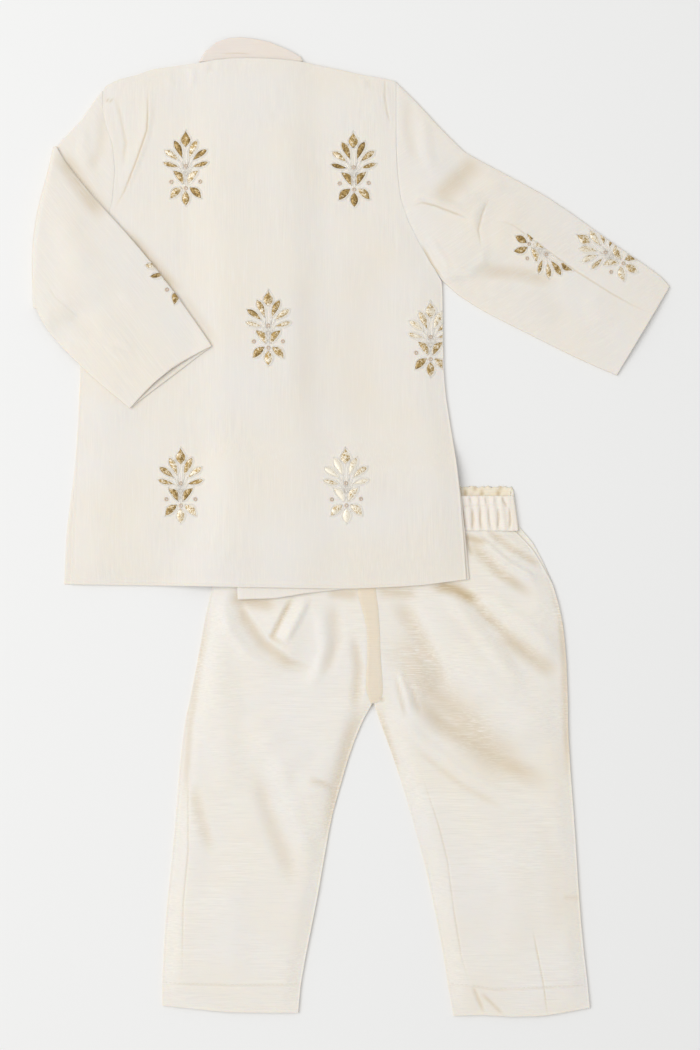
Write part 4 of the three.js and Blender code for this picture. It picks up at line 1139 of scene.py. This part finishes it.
class SHERWANI_OT_sleeves(bpy.types.Operator):
    """Dress the sleeves, each with its own grain"""
    bl_idname = "sherwani.sleeves"
    bl_label = "Sleeves"

    def execute(self, context):
        colour = context.scene.sherwani_cloth.coat
        for panel, grain in zip(SLEEVES, SLEEVE_GRAINS):
            material = art_silk("art_silk_" + panel.node, colour, math.radians(grain))
            dress(panel, [material])
        return {"FINISHED"}


class SHERWANI_OT_collar(bpy.types.Operator):
    """Dress the band collar"""
    bl_idname = "sherwani.collar"
    bl_label = "Collar"

    def execute(self, context):
        material = art_silk("art_silk_collar", context.scene.sherwani_cloth.collar, math.pi / 2)
        dress(COLLAR, [material])
        return {"FINISHED"}


class SHERWANI_OT_trousers(bpy.types.Operator):
    """Dress the trouser legs, with the strip over their middle seam"""
    bl_idname = "sherwani.trousers"
    bl_label = "Trousers"

    def execute(self, context):
        cloth = context.scene.sherwani_cloth
        material = dupion("dupion_trousers", cloth.trousers)
        for panel in TROUSER_PANELS:
            dress(panel, [material])
        add_trim(strip_shape(), "dupion_middle_strip", dupion("dupion_strip", cloth.strip))
        return {"FINISHED"}


class SHERWANI_OT_waistband(bpy.types.Operator):
    """Dress the gathered waistband, pale tan on its inside, with painted shade in the folds there"""
    bl_idname = "sherwani.waistband"
    bl_label = "Waistband"

    def execute(self, context):
        cloth = context.scene.sherwani_cloth
        outside = dupion("dupion_waistband", cloth.trousers)
        inside = dupion("dupion_casing_inside", cloth.casing)
        band = dress(WAISTBAND, [outside, inside])
        middle = sum(corner[2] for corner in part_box("waistband")) / 2
        for face in band.data.polygons:
            face.material_index = 1 if face.normal.z > 0.4 and face.center.z < middle else 0
        return {"FINISHED"}


class SHERWANI_OT_sprigs(bpy.types.Operator):
    """Work the gold sprigs on the back and sleeves"""
    bl_idname = "sherwani.sprigs"
    bl_label = "Zari sprigs"

    def execute(self, context):
        zari = context.scene.sherwani_zari
        chance = np.random.default_rng(11)
        leaves, cords, rings = bmesh.new(), bmesh.new(), bmesh.new()
        leaves.verts.layers.float.new("glint")
        lines = [[(x, y, 0) for x, y in line] for line in sprig_lines(zari)]
        for sprig in SPRIGS:
            for part, whole in zip(work_sprig(sprig, chance, lines, zari), (leaves, cords, rings)):
                join_into(whole, part)
        add_trim(leaves, "zari_leaves", zari_leaf())
        add_trim(cords, "zari_cords", twisted_cord())
        add_trim(rings, "ring_sequins", plated("rose_gold_foil", zari.sequin, 0.4, 0.3))
        return {"FINISHED"}


class SHERWANI_OT_stitches(bpy.types.Operator):
    """Sew the hem stitches of the trousers"""
    bl_idname = "sherwani.stitches"
    bl_label = "Hem stitches"

    def execute(self, context):
        sewing = context.scene.sherwani_sewing
        whole = bmesh.new()
        for node, points in STITCH_ROWS:
            row = cord_shape(stitch_lines(points, sewing), sewing.thread_radius)
            lay_on(row, [node])
            join_into(whole, row)
        add_trim(whole, "hem_stitches", sewing_thread())
        return {"FINISHED"}


class SHERWANI_OT_buttons(bpy.types.Operator):
    """Finish the buttons on the hidden front"""
    bl_idname = "sherwani.buttons"
    bl_label = "Buttons"

    def execute(self, context):
        brass = plated("antique_brass", linear("#A98850"), 0.35, 0.9)
        for name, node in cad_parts.items():
            if name.startswith("button_"):
                node.material_slots[0].material = brass
        return {"FINISHED"}


def white_laminate(colour):
    """Matt white laminate: an even pale ground that takes soft shadows and has no glare."""
    material, tree = new_material("matt_white_laminate")
    shader = add_node(tree, "ShaderNodeBsdfPrincipled", {
        "Base Color": (*colour, 1), "Roughness": 0.85, "Specular IOR Level": 0.1})
    add_node(tree, "ShaderNodeOutputMaterial", {"Surface": shader.outputs[0]})
    return material


def lay_table(settings):
    """A wide table top just under the set."""
    shape = bmesh.new()
    bmesh.ops.create_grid(shape, x_segments=2, y_segments=2, size=TABLE_REACH)
    bmesh.ops.translate(shape, verts=shape.verts, vec=(0, 0, -TABLE_DROP))
    mesh = bpy.data.meshes.new("table")
    shape.to_mesh(mesh)
    shape.free()
    add_piece("table", mesh, [white_laminate(settings.table)])


def light_studio(scene, settings):
    """Even light from all round, and a wide soft box on the left."""
    world = bpy.data.worlds.new("studio")
    world.use_nodes = True
    world.node_tree.nodes["Background"].inputs[0].default_value = (1, 1, 1, 1)
    world.node_tree.nodes["Background"].inputs[1].default_value = settings.fill
    scene.world = world
    soft_box = bpy.data.lights.new("soft_box", "AREA")
    soft_box.shape = "RECTANGLE"
    soft_box.size = soft_box.size_y = SOFT_BOX_SIZE
    soft_box.energy = settings.key
    lamp = bpy.data.objects.new("soft_box", soft_box)
    lamp.location = SOFT_BOX_PLACE
    lamp.rotation_euler = (-Vector(lamp.location)).to_track_quat("-Z", "Y").to_euler()
    scene.collection.objects.link(lamp)


def hang_camera(scene, settings):
    """A camera that looks straight down, with the view's height on the table."""
    camera = bpy.data.cameras.new("camera")
    camera.sensor_fit = "VERTICAL"
    camera.sensor_height = CAMERA_SENSOR
    camera.lens = camera.sensor_height * settings.camera_height / settings.view_height
    eye = bpy.data.objects.new("camera", camera)
    eye.location = (*CAMERA_AIM, settings.camera_height)
    scene.collection.objects.link(eye)
    scene.camera = eye
    scene.view_settings.view_transform = "Standard"


class SHERWANI_OT_stage(bpy.types.Operator):
    """Set the pale table, the soft light and the camera straight above"""
    bl_idname = "sherwani.stage"
    bl_label = "Stage"

    def execute(self, context):
        settings = context.scene.sherwani_stage
        lay_table(settings)
        light_studio(context.scene, settings)
        hang_camera(context.scene, settings)
        return {"FINISHED"}


OPERATORS = [
    SHERWANI_OT_coat,
    SHERWANI_OT_sleeves,
    SHERWANI_OT_collar,
    SHERWANI_OT_trousers,
    SHERWANI_OT_waistband,
    SHERWANI_OT_sprigs,
    SHERWANI_OT_stitches,
    SHERWANI_OT_buttons,
    SHERWANI_OT_stage,
]
GROUPS = {
    "sherwani_cloth": SherwaniCloth,
    "sherwani_zari": SherwaniZari,
    "sherwani_sewing": SherwaniSewing,
    "sherwani_stage": SherwaniStage,
}


class VIEW3D_PT_sherwani(bpy.types.Panel):
    """Makes the set and lists its settings"""
    bl_label = "Sherwani"
    bl_space_type = "VIEW_3D"
    bl_region_type = "UI"
    bl_category = "Sherwani"

    def draw(self, context):
        for operator in OPERATORS:
            self.layout.operator(operator.bl_idname)
        for name, group in GROUPS.items():
            box = self.layout.box()
            for setting in group.__annotations__:
                box.prop(getattr(context.scene, name), setting)


def register():
    """Adds the settings, operators and panel."""
    for name, group in GROUPS.items():
        bpy.utils.register_class(group)
        setattr(bpy.types.Scene, name, bpy.props.PointerProperty(type=group))
    for operator in OPERATORS:
        bpy.utils.register_class(operator)
    bpy.utils.register_class(VIEW3D_PT_sherwani)


def unregister():
    """Takes the settings, operators and panel away."""
    bpy.utils.unregister_class(VIEW3D_PT_sherwani)
    for operator in reversed(OPERATORS):
        bpy.utils.unregister_class(operator)
    for name, group in GROUPS.items():
        delattr(bpy.types.Scene, name)
        bpy.utils.unregister_class(group)


def main():
    """Makes the whole set in order."""
    register()
    for operator in OPERATORS:
        getattr(bpy.ops.sherwani, operator.bl_idname.split(".")[1])()


if __name__ == "__main__":
    main()
